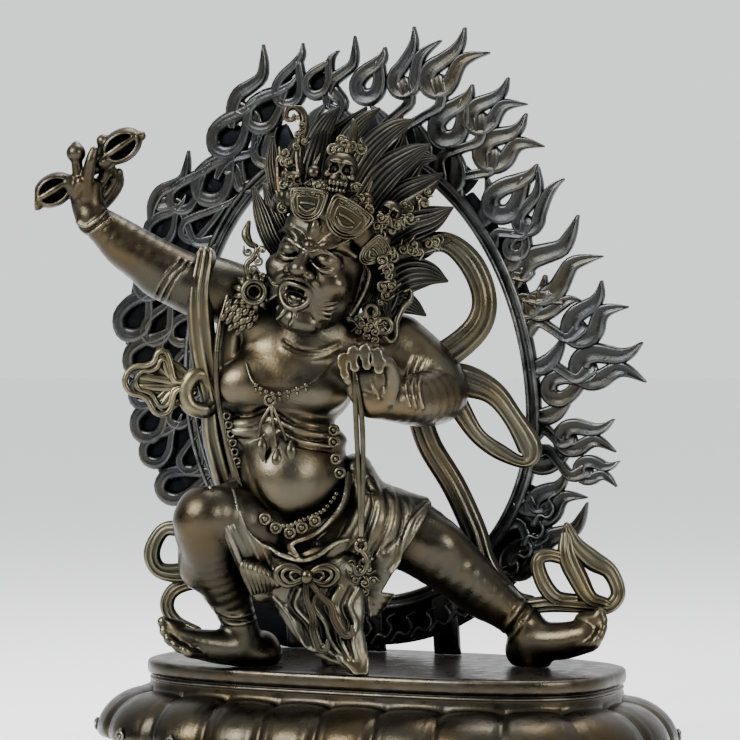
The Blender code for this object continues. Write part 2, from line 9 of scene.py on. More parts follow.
import bpy
import numpy as np
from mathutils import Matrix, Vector


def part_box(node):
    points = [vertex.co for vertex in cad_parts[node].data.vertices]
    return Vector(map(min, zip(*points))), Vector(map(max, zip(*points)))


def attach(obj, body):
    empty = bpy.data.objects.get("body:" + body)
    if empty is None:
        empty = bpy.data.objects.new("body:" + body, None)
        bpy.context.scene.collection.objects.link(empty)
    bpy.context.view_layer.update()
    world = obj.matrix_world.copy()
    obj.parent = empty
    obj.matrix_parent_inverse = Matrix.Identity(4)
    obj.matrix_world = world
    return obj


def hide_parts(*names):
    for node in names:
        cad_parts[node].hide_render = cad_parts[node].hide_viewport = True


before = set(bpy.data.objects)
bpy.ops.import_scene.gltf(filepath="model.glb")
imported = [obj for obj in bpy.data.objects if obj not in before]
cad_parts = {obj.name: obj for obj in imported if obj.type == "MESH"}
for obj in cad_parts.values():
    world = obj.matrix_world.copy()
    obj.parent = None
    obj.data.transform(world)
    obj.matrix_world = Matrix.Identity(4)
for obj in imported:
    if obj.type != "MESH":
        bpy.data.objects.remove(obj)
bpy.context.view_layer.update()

# The viewer's sighting grid
GRID = 0.4755
MIDDLE = 370
EYE_DISTANCE = 1300.0
EYE_HEIGHT = 190.0
SIGHT = np.array((2.6, -21.3))
TURN = math.radians(24)
PICTURE_WIDTH = 740
SENSOR_WIDTH = 36.0

# The platform and what stands on it
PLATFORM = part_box("lotus_base")[1][2] * 1000
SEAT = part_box("figure")[0][2] * 1000

# Straight back, in the viewer's frame as in the world's
AWAY = np.array((0.0, 1.0, 0.0))

# Clay distances stop at FAR, and its cells are coarser in a quick trial
FAR = 9.0
COARSE = 1.0


def seen(rows):
    """Rows of column, row, depth and further values, with the first three turned into the viewer's frame."""
    rows = np.atleast_2d(np.array(rows, float))
    spread = GRID * (1 + rows[:, 2] / EYE_DISTANCE)
    across = (rows[:, 0] - MIDDLE) * spread
    up = EYE_HEIGHT + (MIDDLE - rows[:, 1]) * spread
    return np.column_stack((across, rows[:, 2], up, rows[:, 3:]))


def sighted(points):
    """The column and row at which the viewer sees points of the viewer's frame."""
    spread = GRID * (1 + points[:, 1] / EYE_DISTANCE)
    return np.column_stack((MIDDLE + points[:, 0] / spread, MIDDLE - (points[:, 2] - EYE_HEIGHT) / spread))


def to_world(points):
    """Points of the viewer's frame, turned to stand as the statue does."""
    c, s = math.cos(TURN), math.sin(TURN)
    x = SIGHT[0] + points[:, 0] * c - points[:, 1] * s
    y = SIGHT[1] + points[:, 0] * s + points[:, 1] * c
    return np.column_stack((x, y, points[:, 2]))


def smooth(rows, steps):
    """A Catmull-Rom line through rows of numbers."""
    rows = np.asarray(rows, float)
    ends = np.vstack((2 * rows[0] - rows[1], rows, 2 * rows[-1] - rows[-2]))
    t = (np.arange(steps) / steps)[:, None]
    line = []
    for a, b, c, d in zip(ends, ends[1:], ends[2:], ends[3:]):
        bend = (2 * a - 5 * b + 4 * c - d) * t**2 + (3 * b - a - 3 * c + d) * t**3
        line.append((2 * b + (c - a) * t + bend) / 2)
    return np.vstack(line + [rows[-1:]])


def unit(v):
    return v / max(np.linalg.norm(v), 1e-9)


def turned(roll):
    """Axes rolled clockwise by that many degrees, as the viewer sees it."""
    c, s = math.cos(math.radians(roll)), math.sin(math.radians(roll))
    return np.array(((c, 0, -s), (0, 1, 0), (s, 0, c)))


# Clay: forms that melt together

class Clay:
    """A block of the viewer's frame that holds distances to a surface, negative inside. Places are given
    by column, row and depth, unless it has another way of placing them."""

    def __init__(self, low, high, pitch, place=seen):
        self.pitch, self.place = pitch * COARSE, place
        corners = seen((low, high))
        spans = zip(corners.min(axis=0), corners.max(axis=0))
        self.axes = [np.arange(a, b, self.pitch, dtype=np.float32) for a, b in spans]
        self.field = np.full([len(axis) for axis in self.axes], FAR, np.float32)

    def window(self, low, high):
        return [slice(*np.searchsorted(axis, (a, b))) for axis, a, b in zip(self.axes, low, high)]

    def offsets(self, spans, centre):
        x, y, z = [axis[span] - np.float32(c) for axis, span, c in zip(self.axes, spans, centre)]
        return x[:, None, None], y[None, :, None], z[None, None, :]

    def melt(self, spans, distance, blend, carve):
        here = self.field[tuple(spans)]
        if carve:
            distance = -distance
        overlap = np.maximum(blend - np.abs(here - distance), 0) ** 2 / (4 * blend)
        here[...] = np.maximum(here, distance) + overlap if carve else np.minimum(here, distance) - overlap

    def strand(self, rows, blend=1.5, steps=3, carve=False):
        """A strand along rows of place, half width and half thickness, the second lying away."""
        line = smooth(self.place(rows), steps)
        margin = blend + 2 * self.pitch
        thick = line[:, 3:].max(axis=1)[:, None]
        whole = self.window((line[:, :3] - thick).min(axis=0) - margin,
                            (line[:, :3] + thick).max(axis=0) + margin)
        sheet = np.full([max(span.stop - span.start, 0) for span in whole], FAR, np.float32)
        if not sheet.size:
            return
        side = np.array((1.0, 0, 0))
        for a, b in zip(line, line[1:]):
            reach = max(a[3:].max(), b[3:].max()) + margin
            low, high = np.minimum(a[:3], b[:3]) - reach, np.maximum(a[:3], b[:3]) + reach
            near = self.window(low, high)
            near = [slice(max(n.start, w.start), min(n.stop, w.stop)) for n, w in zip(near, whole)]
            if any(n.stop <= n.start for n in near):
                continue
            along = b[:3] - a[:3]
            length = np.linalg.norm(along)
            along = unit(along)
            across = np.cross(along, AWAY)
            if np.linalg.norm(across) > 0.2:
                side = unit(across)
            side = unit(side - along * side.dot(along))
            out = np.cross(side, along)
            x, y, z = self.offsets(near, a[:3])
            run = x * along[0] + y * along[1] + z * along[2]
            share = np.clip(run / length, 0, 1)
            over = run - share * length
            u = x * side[0] + y * side[1] + z * side[2]
            w = x * out[0] + y * out[1] + z * out[2]
            half_width = a[3] + (b[3] - a[3]) * share
            half_thick = a[4] + (b[4] - a[4]) * share
            least = np.minimum(half_width, half_thick)
            u, w, over = u / half_width, w / half_thick, over / least
            k0 = np.sqrt(u * u + w * w + over * over)
            k1 = np.sqrt((u / half_width) ** 2 + (w / half_thick) ** 2 + (over / least) ** 2)
            distance = k0 * (k0 - 1) / np.maximum(k1, 1e-5)
            part = sheet[tuple(slice(n.start - w0.start, n.stop - w0.start) for n, w0 in zip(near, whole))]
            np.minimum(part, distance, out=part)
        self.melt(whole, sheet, blend, carve)

    def tube(self, rows, blend=1.5, steps=3, carve=False):
        """A round strand along rows of place and radius."""
        self.strand([(*row, row[3]) for row in rows], blend, steps, carve)

    def ball(self, centre, sizes, turn=0.0, blend=1.5, carve=False, shift=0.0):
        """An ellipsoid on axes of its own, or rolled by that many degrees, and shifted by millimetres."""
        axes = turned(turn) if np.isscalar(turn) else turn
        centre = self.place(centre)[0] + shift
        reach = max(sizes) + blend + 2 * self.pitch
        spans = self.window(centre - reach, centre + reach)
        if any(span.stop <= span.start for span in spans):
            return
        x, y, z = self.offsets(spans, centre)
        k0 = k1 = 0
        for axis, size in zip(axes, sizes):
            share = (x * axis[0] + y * axis[1] + z * axis[2]) / size
            k0 = k0 + share**2
            k1 = k1 + (share / size) ** 2
        k0 = np.sqrt(k0)
        self.melt(spans, k0 * (k0 - 1) / np.maximum(np.sqrt(k1), 1e-5), blend, carve)

    def cut_below(self, height):
        """Cuts the clay flat at a height."""
        self.field = np.maximum(self.field, (np.float32(height) - self.axes[2])[None, None, :])

    def cut_beside(self, first, second, last_row):
        """Cuts away what lies left of the way from one place of the picture to another, above a row."""
        a, b = seen(((*first, -10), (*second, -10)))
        along = unit(np.array((b[0] - a[0], b[2] - a[2])))
        x, z = self.axes[0][:, None, None], self.axes[2][None, None, :]
        beside = np.where(z > seen((0, last_row, 0))[0, 2], along[0] * (z - a[2]) - along[1] * (x - a[0]),
                          -FAR)
        self.field = np.maximum(self.field, beside.astype(np.float32))

    def surface(self):
        """The surface as points and four-cornered faces, one point in each cell that it crosses."""
        field = self.field
        for axis in range(3):
            for end in (0, -1):
                edge = [slice(None)] * 3
                edge[axis] = end
                field[tuple(edge)] = FAR
        inside = field < 0
        corners = sum(inside[i:inside.shape[0] - 1 + i, j:inside.shape[1] - 1 + j, k:inside.shape[2] - 1 + k]
                      .astype(np.int8) for i in (0, 1) for j in (0, 1) for k in (0, 1))
        cells = np.argwhere((corners > 0) & (corners < 8))
        number = np.full(corners.shape, -1, np.int32)
        number[tuple(cells.T)] = np.arange(len(cells))
        total, crossings = np.zeros((len(cells), 3)), np.zeros(len(cells))
        for axis in range(3):
            others = [a for a in range(3) if a != axis]
            for p in (0, 1):
                for q in (0, 1):
                    start = np.zeros(3, int)
                    start[others[0]], start[others[1]] = p, q
                    stop = start.copy()
                    stop[axis] = 1
                    a = field[tuple((cells + start).T)]
                    b = field[tuple((cells + stop).T)]
                    crossed = (a < 0) != (b < 0)
                    share = np.where(crossed, a / np.where(crossed, a - b, 1), 0)
                    step = np.zeros((len(cells), 3))
                    step[:] = start
                    step[:, axis] = share
                    total += step * crossed[:, None]
                    crossings += crossed
        origin = np.array([axis[0] for axis in self.axes])
        points = origin + (cells + total / crossings[:, None]) * self.pitch
        faces = []
        for axis in range(3):
            first, second = (axis + 1) % 3, (axis + 2) % 3
            low, high = [slice(None)] * 3, [slice(None)] * 3
            low[axis], high[axis] = slice(0, -1), slice(1, None)
            a, b = inside[tuple(low)], inside[tuple(high)]
            for leaving in (True, False):
                edges = np.argwhere(a & ~b if leaving else ~a & b)
                around = []
                for p, q in ((1, 1), (0, 1), (0, 0), (1, 0)):
                    cell = edges.copy()
                    cell[:, first] -= p
                    cell[:, second] -= q
                    around.append(number[tuple(cell.T)])
                quads = np.column_stack(around)
                faces.append(quads if leaving else quads[:, ::-1])
        return points, np.vstack(faces)


def point_normals(points, faces):
    a, b, c, d = (points[faces[:, k]] for k in range(4))
    across = np.cross(c - a, d - b)
    normals = np.zeros_like(points)
    for axis in range(3):
        for k in range(4):
            normals[:, axis] += np.bincount(faces[:, k], across[:, axis], len(points))
    return normals / np.maximum(np.linalg.norm(normals, axis=1), 1e-9)[:, None]


def line_distance(places, line):
    """How far places are from a line of points in the picture."""
    nearest = np.full(len(places), 1e9)
    for a, b in zip(line, line[1:]):
        along = b - a
        share = np.clip(((places - a) @ along) / max(along @ along, 1e-9), 0, 1)
        nearest = np.minimum(nearest, np.linalg.norm(places - a - share[:, None] * along, axis=1))
    return nearest


def chase(points, faces, marks):
    """Presses lines into what faces the viewer, or raises them. A mark is its points, its half width in
    columns and its height in millimetres, and it may say the depths that it stays within."""
    normals = point_normals(points, faces)
    places = sighted(points)
    facing = np.clip(-normals[:, 1] * 1.6, 0, 1)
    rise = np.zeros(len(points))
    for line, width, height, *depths in marks:
        line = smooth(line, 5) if len(line) > 2 else np.array(line, float)
        low, high = line.min(axis=0) - 3 * width, line.max(axis=0) + 3 * width
        near = np.all((places > low) & (places < high), axis=1) & (facing > 0)
        if depths:
            near &= (points[:, 1] > depths[0]) & (points[:, 1] < depths[1])
        near = np.flatnonzero(near)
        rise[near] += height * np.exp(-(line_distance(places[near], line) / width) ** 2)
    return points + normals * (rise * facing)[:, None]


# Skins: strands, beads and rings laid side by side in one piece

class Skins:
    """Closed skins laid side by side."""

    def __init__(self):
        self.points, self.faces, self.caps, self.count = [], [], [], 0

    def add(self, points, faces, caps=()):
        a, b, c, d = (points[faces[:, k]] for k in range(4))
        volume = np.einsum("ij,ij->", a, np.cross(b, c)) + np.einsum("ij,ij->", a, np.cross(c, d))
        caps = [np.asarray(cap) for cap in caps]
        for cap in caps:
            for k in range(1, len(cap) - 1):
                volume += points[cap[0]] @ np.cross(points[cap[k]], points[cap[k + 1]])
        if volume < 0:
            faces = faces[:, ::-1]
            caps = [cap[::-1] for cap in caps]
        self.points.append(points)
        self.faces.append(faces + self.count)
        self.caps += [(cap + self.count).tolist() for cap in caps]
        self.count += len(points)

    def strand(self, rows, section, steps=4, facing=AWAY):
        """A closed strand of one section along rows of place, half width and half thickness."""
        line = smooth(rows, steps)
        side = np.array((1.0, 0, 0))
        rings = []
        last = len(line) - 1
        for i, row in enumerate(line):
            point, half_width, half_thick = row[:3], max(row[3], 0.25), max(row[4], 0.25)
            along = unit(line[min(i + 1, last), :3] - line[max(i - 1, 0), :3])
            across = np.cross(along, facing)
            if np.linalg.norm(across) > 0.25:
                side = unit(across)
            side = unit(side - along * side.dot(along))
            out = np.cross(side, along)
            spokes = side * half_width * section[:, :1] + out * half_thick * section[:, 1:]
            cap = along * min(half_width, half_thick)
            if i == 0:
                rings += [point - cap * 0.9 + spokes * 0.3, point - cap * 0.5 + spokes * 0.8]
            rings.append(point + spokes)
            if i == last:
                rings += [point + cap * 0.5 + spokes * 0.8, point + cap * 0.9 + spokes * 0.3]
        sides = len(section)
        start = (np.arange(len(rings) - 1) * sides)[:, None]
        k = np.arange(sides)[None, :]
        after = (k + 1) % sides
        faces = np.stack((start + k, start + after, start + sides + after, start + sides + k), axis=2)
        end = (len(rings) - 1) * sides
        self.add(np.vstack(rings), faces.reshape(-1, 4), (np.arange(sides)[::-1], end + np.arange(sides)))

    def bead(self, centre, sizes, turn=0.0):
        """An ellipsoid, rolled by that many degrees."""
        self.add(np.asarray(centre) + (BALL_POINTS * np.asarray(sizes)) @ turned(turn), BALL_FACES)

    def draw(self, rows, section, steps=4):
        """A strand along rows whose places are columns, rows and depths."""
        self.strand(seen(rows), section, steps)

    def drop(self, centre, sizes, turn=0.0):
        """A bead at a column, row and depth."""
        self.bead(seen(centre)[0], sizes, turn)

    def loop(self, centre, radius, thick, around=14, sides=8):
        """A round ring at a column, row and depth, which faces the viewer."""
        a = np.linspace(0, 2 * math.pi, around, endpoint=False)[:, None]
        b = np.linspace(0, 2 * math.pi, sides, endpoint=False)[None, :]
        reach = radius + thick * np.cos(b)
        points = np.stack((-np.cos(a) * reach, thick * np.sin(b) + 0 * a, np.sin(a) * reach), axis=2)
        i, k = np.meshgrid(np.arange(around), np.arange(sides), indexing="ij")
        i2, k2 = (i + 1) % around, (k + 1) % sides
        corners = (i * sides + k, i2 * sides + k, i2 * sides + k2, i * sides + k2)
        self.add(seen(centre)[0] + points.reshape(-1, 3), np.stack(corners, axis=2).reshape(-1, 4))


def ball_mesh(cuts):
    """A ball of four-cornered faces, from the six sides of a cube."""
    points, faces = [], []
    steps = np.tan(np.linspace(-math.pi / 4, math.pi / 4, cuts + 1))
    for axis in range(3):
        for end in (-1, 1):
            base = len(points)
            for p in steps:
                for q in steps:
                    point = np.zeros(3)
                    point[axis], point[(axis + 1) % 3], point[(axis + 2) % 3] = end, p, q
                    points.append(unit(point))
            for i in range(cuts):
                for k in range(cuts):
                    a = base + i * (cuts + 1) + k
                    quad = (a, a + cuts + 1, a + cuts + 2, a + 1)
                    faces.append(quad if end > 0 else quad[::-1])
    points = np.array(points)
    kept, place = np.unique(np.round(points, 5), axis=0, return_inverse=True)
    return kept, place.ravel()[np.array(faces)]


BALL_POINTS, BALL_FACES = ball_mesh(4)


def section(sides, shape, square=1.0):
    """A strand's section: its thickness at each place across follows shape."""
    a = 2 * math.pi * (np.arange(sides) + 0.5) / sides
    across, rise = np.cos(a), np.sin(a)
    return np.column_stack((across, np.sign(rise) * np.abs(rise) ** square * shape(across)))


def rimmed(across):
    """Low along the middle, with a raised rim on both sides."""
    return 0.66 + 0.34 * np.sin(math.pi / 2 * np.clip((np.abs(across) - 0.3) / 0.4, 0, 1)) ** 2


ROUND = section(12, lambda across: np.ones_like(across))
RIMMED = section(22, rimmed, 0.62)
CLOTH = section(36, lambda across: 0.86 + 0.14 * np.cos(3.2 * math.pi * across + 0.7), 0.75)
LOCK = section(52, lambda across: 0.79 + 0.21 * np.cos(6 * math.pi * across), 0.7)
GROOVED = section(20, lambda across: 1 - 0.3 * np.exp(-(across / 0.22) ** 2))
FINE_ROUND = section(8, lambda across: np.ones_like(across))


# Pieces

def placed(name, data):
    """A new object of the scene."""
    thing = bpy.data.objects.new(name, data)
    bpy.context.scene.collection.objects.link(thing)
    return thing


def piece(name, points, faces, material, caps=()):
    """One object of the finished statue, from points in millimetres."""
    mesh = bpy.data.meshes.new(name)
    mesh.from_pydata((points / 1000).tolist(), [], faces.tolist() + list(caps))
    mesh.shade_smooth()
    mesh.materials.append(material)
    thing = placed(name, mesh)
    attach(thing, "root")
    return thing


def cast(name, clay, material, marks=()):
    """The clay's surface with its marks, as a piece of the figure."""
    points, faces = clay.surface()
    points = chase(points, faces, marks)
    points[:, 2] = np.maximum(points[:, 2], SEAT)
    return piece(name, to_world(points), faces, material)


def joined(name, skins, material, viewed=True, lowest=SEAT):
    """Skins as one piece. Those laid out in the viewer's frame are turned with it."""
    points = np.vstack(skins.points)
    if viewed:
        points = to_world(points)
    points[:, 2] = np.maximum(points[:, 2], lowest)
    return piece(name, points, np.vstack(skins.faces), material, skins.caps)


# Bronze

# Patinas: colour, colour of the worn edges (wear, partly a painted highlight), colour of the recesses
# (painted shade, with some dark grime), and roughness
PATINAS = {
    # A lighter copy of the bronze, for the trunk: painted light on the chest and belly, where the key light
    # falls more
    "body": ((0.058, 0.052, 0.037), (0.2, 0.18, 0.125), (0.002, 0.002, 0.002), 0.33),
    "cloth": ((0.053, 0.05, 0.038), (0.2, 0.185, 0.135), (0.002, 0.002, 0.002), 0.33),
    "figure": ((0.036, 0.0325, 0.024), (0.16, 0.145, 0.1), (0.002, 0.002, 0.002), 0.31),
    # A darker copy of the bronze, for the raised arm and the low scarf: painted shade
    "arm": ((0.029, 0.0265, 0.02), (0.15, 0.135, 0.095), (0.002, 0.002, 0.002), 0.31),
    "head": ((0.041, 0.037, 0.027), (0.17, 0.155, 0.11), (0.002, 0.002, 0.002), 0.31),
    "hair": ((0.0125, 0.0125, 0.0105), (0.08, 0.077, 0.062), (0.001, 0.001, 0.001), 0.33),
    "scarf": ((0.041, 0.039, 0.029), (0.2, 0.178, 0.105), (0.002, 0.002, 0.002), 0.32),
    "jewel": ((0.031, 0.0285, 0.021), (0.095, 0.086, 0.056), (0.001, 0.001, 0.001), 0.3),
    "aureole": ((0.018, 0.0192, 0.0192), (0.095, 0.1, 0.098), (0.001, 0.001, 0.002), 0.3),
    # Near-black, for the webs and pockets behind the aureole: painted shade
    "recess_shade": ((0.003, 0.0035, 0.0045), (0.01, 0.011, 0.012), (0.001, 0.001, 0.001), 0.5),
    "lotus": ((0.03, 0.0265, 0.019), (0.14, 0.132, 0.11), (0.005, 0.006, 0.007), 0.3),
}
WARMTH = (1.3, 1.03, 0.7)
RECESS_REACH, RECESS_SAMPLES = 0.012, 6
GRAIN_STRENGTH, GRAIN_DEPTH = 0.25, 0.0004


def ranged(tree, value, low, high, bottom=0.0, top=1.0):
    """A value's range from low to high, made to run from bottom to top."""
    node = tree.nodes.new("ShaderNodeMapRange")
    for index, number in enumerate((low, high, bottom, top)):
        node.inputs[index + 1].default_value = number
    tree.links.new(value, node.inputs[0])
    return node.outputs[0]


def combined(tree, operation, a, b):
    node = tree.nodes.new("ShaderNodeMath")
    node.operation = operation
    tree.links.new(a, node.inputs[0])
    tree.links.new(b, node.inputs[1])
    return node.outputs[0]


def bronze(name):
    """Patinated bronze: painted shade, with some dark grime, in the recesses; worn bright on the edges,
    partly as a painted highlight; and mottled.
    """
    colour, rubbed_and_highlight, recess_shade, roughness = PATINAS[name]
    material = bpy.data.materials.new(f"{name}_patina")
    material.use_nodes = True
    tree = material.node_tree
    nodes, links = tree.nodes, tree.links
    shader = nodes["Principled BSDF"]
    shader.inputs["Metallic"].default_value = 1.0
    place = nodes.new("ShaderNodeTexCoord")

    def noise(scale, detail):
        texture = nodes.new("ShaderNodeTexNoise")
        texture.inputs["Scale"].default_value = scale
        texture.inputs["Detail"].default_value = detail
        links.new(place.outputs["Object"], texture.inputs["Vector"])
        return texture.outputs["Fac"]

    def mixed(share, first, second):
        node = nodes.new("ShaderNodeMix")
        node.data_type = "RGBA"
        links.new(share, node.inputs["Factor"])
        for value, socket in ((first, node.inputs["A"]), (second, node.inputs["B"])):
            if isinstance(value, tuple):
                socket.default_value = (*value, 1)
            else:
                links.new(value, socket)
        return node.outputs["Result"]

    pointed = nodes.new("ShaderNodeNewGeometry").outputs["Pointiness"]
    # Ambient occlusion mixes the near-black recess colour into creases and recesses: painted shade, with
    # some dark grime
    recess = nodes.new("ShaderNodeAmbientOcclusion")
    recess.samples = RECESS_SAMPLES
    recess.inputs["Distance"].default_value = RECESS_REACH
    warm = tuple(min(1.0, c * k) for c, k in zip(colour, WARMTH))
    body = mixed(ranged(tree, noise(38, 4), 0.42, 0.74), colour, warm)
    body = mixed(ranged(tree, recess.outputs["AO"], 0.35, 0.95), recess_shade, body)
    # Pointiness mixes the worn colour onto convex edges, in patches: edge wear, partly a painted highlight
    worn = ranged(tree, noise(120, 3), 0.3, 0.62)
    edge = combined(tree, "MULTIPLY", ranged(tree, pointed, 0.515, 0.58), worn)
    links.new(mixed(edge, body, rubbed_and_highlight), shader.inputs["Base Color"])
    rough = ranged(tree, noise(160, 5), 0.3, 0.7, roughness - 0.06, roughness + 0.1)
    links.new(rough, shader.inputs["Roughness"])
    bump = nodes.new("ShaderNodeBump")
    bump.inputs["Strength"].default_value = GRAIN_STRENGTH
    bump.inputs["Distance"].default_value = GRAIN_DEPTH
    links.new(noise(700, 4), bump.inputs["Height"])
    links.new(bump.outputs["Normal"], shader.inputs["Normal"])
    return material


# The lotus base

PLATFORM_LENGTH, PLATFORM_DEPTH, OVAL_POWER = 236.0, 118.0, 3.0
PETALS, PETAL_STEPS, FALL_STEPS = 22, 24, 22
BAND_HEIGHT, NECK_HEIGHT = 7.2, 6.6
PETAL_REACH = 25.0
PETAL_TIP_HEIGHT = 14.5
FOOT_HEIGHT, FOOT_REACH = 9.0, 13.0

# Profiles as outward reach and height, from the platform's top, from a petal's tip and from the ground
PLATFORM_EDGE = (
    (-8, 0), (-2.2, 0), (-1.1, -0.25), (-0.3, -0.9), (0, -1.8), (0.1, -3.6), (0, -5.4), (-0.4, -6.5),
    (-1.3, -7.1), (-2.0, -7.4), (-2.0, -8.0), (-1.2, -8.4), (-0.9, -9.0), (-1.3, -9.5), (-1.3, -10.4),
    (-0.9, -12.0),
)
PETAL_UNDERSIDE = ((-0.3, -1.4), (-1.6, -2.8), (-4.0, -3.6), (-7.5, -3.7))
FOOT_EDGE = (
    (FOOT_REACH - 3, FOOT_HEIGHT + 0.8), (FOOT_REACH - 0.8, FOOT_HEIGHT + 0.3),
    (FOOT_REACH, FOOT_HEIGHT - 0.6), (FOOT_REACH, 0.6), (FOOT_REACH - 0.6, 0),
)


def oval(count):
    """Points spread evenly along the platform's outline, with their outward directions."""
    fine = 3600
    a = 2 * math.pi * np.arange(fine + 1) / fine
    c, s = np.cos(a), np.sin(a)
    bulge = (np.abs(c) ** OVAL_POWER + np.abs(s) ** OVAL_POWER) ** (-1 / OVAL_POWER)
    x, y = c * bulge * PLATFORM_LENGTH / 2, s * bulge * PLATFORM_DEPTH / 2
    length = np.concatenate(((0,), np.cumsum(np.hypot(np.diff(x), np.diff(y)))))
    stations = np.arange(count) / count * length[-1]
    place = np.column_stack((np.interp(stations, length, x), np.interp(stations, length, y)))
    along = np.roll(place, -1, axis=0) - np.roll(place, 1, axis=0)
    out = np.column_stack((along[:, 1], -along[:, 0]))
    return place, out / np.linalg.norm(out, axis=1)[:, None]


def base_rings(place, out):
    """The base's level outlines, from the middle of the platform down to the foot."""
    count = len(place)
    across = (np.arange(count) / PETAL_STEPS) % 1
    off = np.abs(across - np.round(across)) * 2
    round_petal = np.sqrt(np.clip(1 - (off * 0.98) ** 2.6, 0, 1))
    lobe = np.clip(1 - (off / 0.62) ** 2, 0, 1) ** 0.5
    rim = np.exp(-((off - 0.72) / 0.05) ** 2)
    neck = PLATFORM - BAND_HEIGHT - NECK_HEIGHT

    def ring(reach, height):
        spokes = out * np.broadcast_to(reach, count)[:, None]
        return np.column_stack((place + spokes, np.broadcast_to(height, count)))

    rings = [np.column_stack((place * share, np.full(count, PLATFORM))) for share in (0.3, 0.7)]
    rings += [ring(reach, PLATFORM + height) for reach, height in PLATFORM_EDGE]
    for t in np.arange(FALL_STEPS + 1) / FALL_STEPS:
        reach = PETAL_REACH * math.sin(t * math.pi / 2) ** 0.9
        height = neck - (neck - PETAL_TIP_HEIGHT) * (1 - math.cos(t * math.pi / 2)) ** 0.86
        swell = min(1.0, 0.25 + t * 1.8)
        inward = 0.5 + 3.9 * swell * (1 - round_petal) - 0.9 * swell * lobe - 0.7 * swell * rim
        scallop = 2.2 * (1 - round_petal) * max(0, 1 - t * 3)
        rings.append(ring(-0.5 + reach - inward * (0.35 + 0.65 * t),
                          height - scallop - inward * 0.5 * (1 - t)))
    tip = PETAL_REACH - 1.0 - 3.9 * (1 - round_petal) + 0.9 * lobe
    rings += [ring(tip + reach, PETAL_TIP_HEIGHT + height) for reach, height in PETAL_UNDERSIDE]
    return rings + [ring(reach, height) for reach, height in FOOT_EDGE]


def petal_curl(skins, place, out):
    """The two curls and two beads at the tip of a petal."""
    outward, along = np.array((*out, 0.0)), np.array((-out[1], out[0], 0.0))
    tip = np.array((*(place + out * (PETAL_REACH - 0.9)), PETAL_TIP_HEIGHT + 1.6))
    for side in (-1, 1):
        curl = [tip + along * side * 2.9 * math.cos(a) * (1 - 0.1 * n) + outward * (1.0 + 0.12 * n)
                + np.array((0, 0, 2.1 * math.sin(a))) for n, a in enumerate(np.linspace(-1.2, 2.2, 6))]
        skins.strand([(*c, 0.8, 0.8) for c in curl], FINE_ROUND, 3, facing=outward)
    skins.bead(tip + outward * 0.9 + np.array((0, 0, -1.0)), (1.5, 1.5, 1.7))
    skins.bead(tip + outward * 0.6 + np.array((0, 0, 2.4)), (1.2, 1.2, 1.2))


def lotus_base(material):
    """Platform, band, neck, a row of turned-down petals with curled tips, and a plain foot."""
    count = PETALS * PETAL_STEPS
    place, out = oval(count)
    rings = base_rings(place, out)
    k = np.arange(count)
    after = (k + 1) % count
    faces = [np.column_stack((i * count + k, i * count + after, (i + 1) * count + after,
                              (i + 1) * count + k)) for i in range(len(rings) - 1)]
    skins = Skins()
    skins.add(np.vstack(rings), np.vstack(faces), (k[::-1], (len(rings) - 1) * count + k))
    for at in range(0, count, PETAL_STEPS):
        petal_curl(skins, place[at], out[at])
    thing = joined("lotus_base_cast", skins, material, viewed=False, lowest=0)
    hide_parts("lotus_base")


# The flame aureole, in a leaning plane behind the figure

RING_X, RING_MIDDLE_HEIGHT = -24.7, 175.0
RING_LOWER, RING_UPPER, RING_HALF_WIDTH = 98.0, 122.0, 89.0
RING_BAND = 7.5
RING_FOOT_Y, RING_LEAN = 44.0, 0.1456
FLAME_THICKNESS = 6.0
WEB_THICKNESS, WEB_SETBACK = 2.6, 1.5
LUG_HALF_WIDTH = 7.0


def leaning(x, height):
    """The aureole's point at a height."""
    return np.array((x, RING_FOOT_Y - RING_LEAN * (height - PLATFORM), height))


def ring_point(angle, reach=0.0):
    """The ring's point at an angle from its lowest point, or one that far outside it."""
    half_height = RING_LOWER if math.cos(angle) > 0 else RING_UPPER
    x = RING_X + (RING_HALF_WIDTH + reach) * math.sin(angle)
    return leaning(x, RING_MIDDLE_HEIGHT - (half_height + reach) * math.cos(angle))


EYE = to_world(np.array(((0.0, -EYE_DISTANCE, EYE_HEIGHT),)))[0]


def on_aureole(column, row):
    """The aureole's point behind a column and row of the sighting grid."""
    sight = to_world(seen(((column, row, 0),)))[0] - EYE
    normal = np.array((0, 1, RING_LEAN))
    return EYE + sight * ((leaning(0, PLATFORM) - EYE) @ normal) / (sight @ normal)


# Flame shapes, along and across the flame's direction, with half widths, in flame sizes
FORK = (
    (3.1, 1.0, 0.06), (2.4, 0.55, 0.27), (1.7, 0.42, 0.4), (1.0, 0.6, 0.46), (0.35, 0.78, 0.5),
    (-0.3, 0.66, 0.54), (-0.7, 0.2, 0.58), (-0.62, -0.38, 0.58), (-0.15, -0.74, 0.54), (0.45, -0.76, 0.48),
    (1.05, -0.48, 0.43), (1.6, -0.36, 0.4), (2.2, -0.62, 0.28), (3.0, -1.3, 0.06),
)
DROP = (
    (3.0, 0.2, 0.06), (2.3, 0.0, 0.32), (1.5, 0.22, 0.45), (0.7, 0.64, 0.48), (-0.2, 0.74, 0.5),
    (-0.8, 0.22, 0.54), (-0.7, -0.42, 0.54), (-0.15, -0.78, 0.5), (0.6, -0.66, 0.45), (1.3, -0.28, 0.4),
    (1.9, 0.0, 0.3),
)
WAVE = (
    (-0.9, -0.1, 0.3), (-0.2, 0.26, 0.46), (0.6, 0.34, 0.48), (1.4, 0.0, 0.42), (2.1, -0.24, 0.36),
    (2.9, 0.02, 0.24), (3.7, 0.45, 0.05),
)

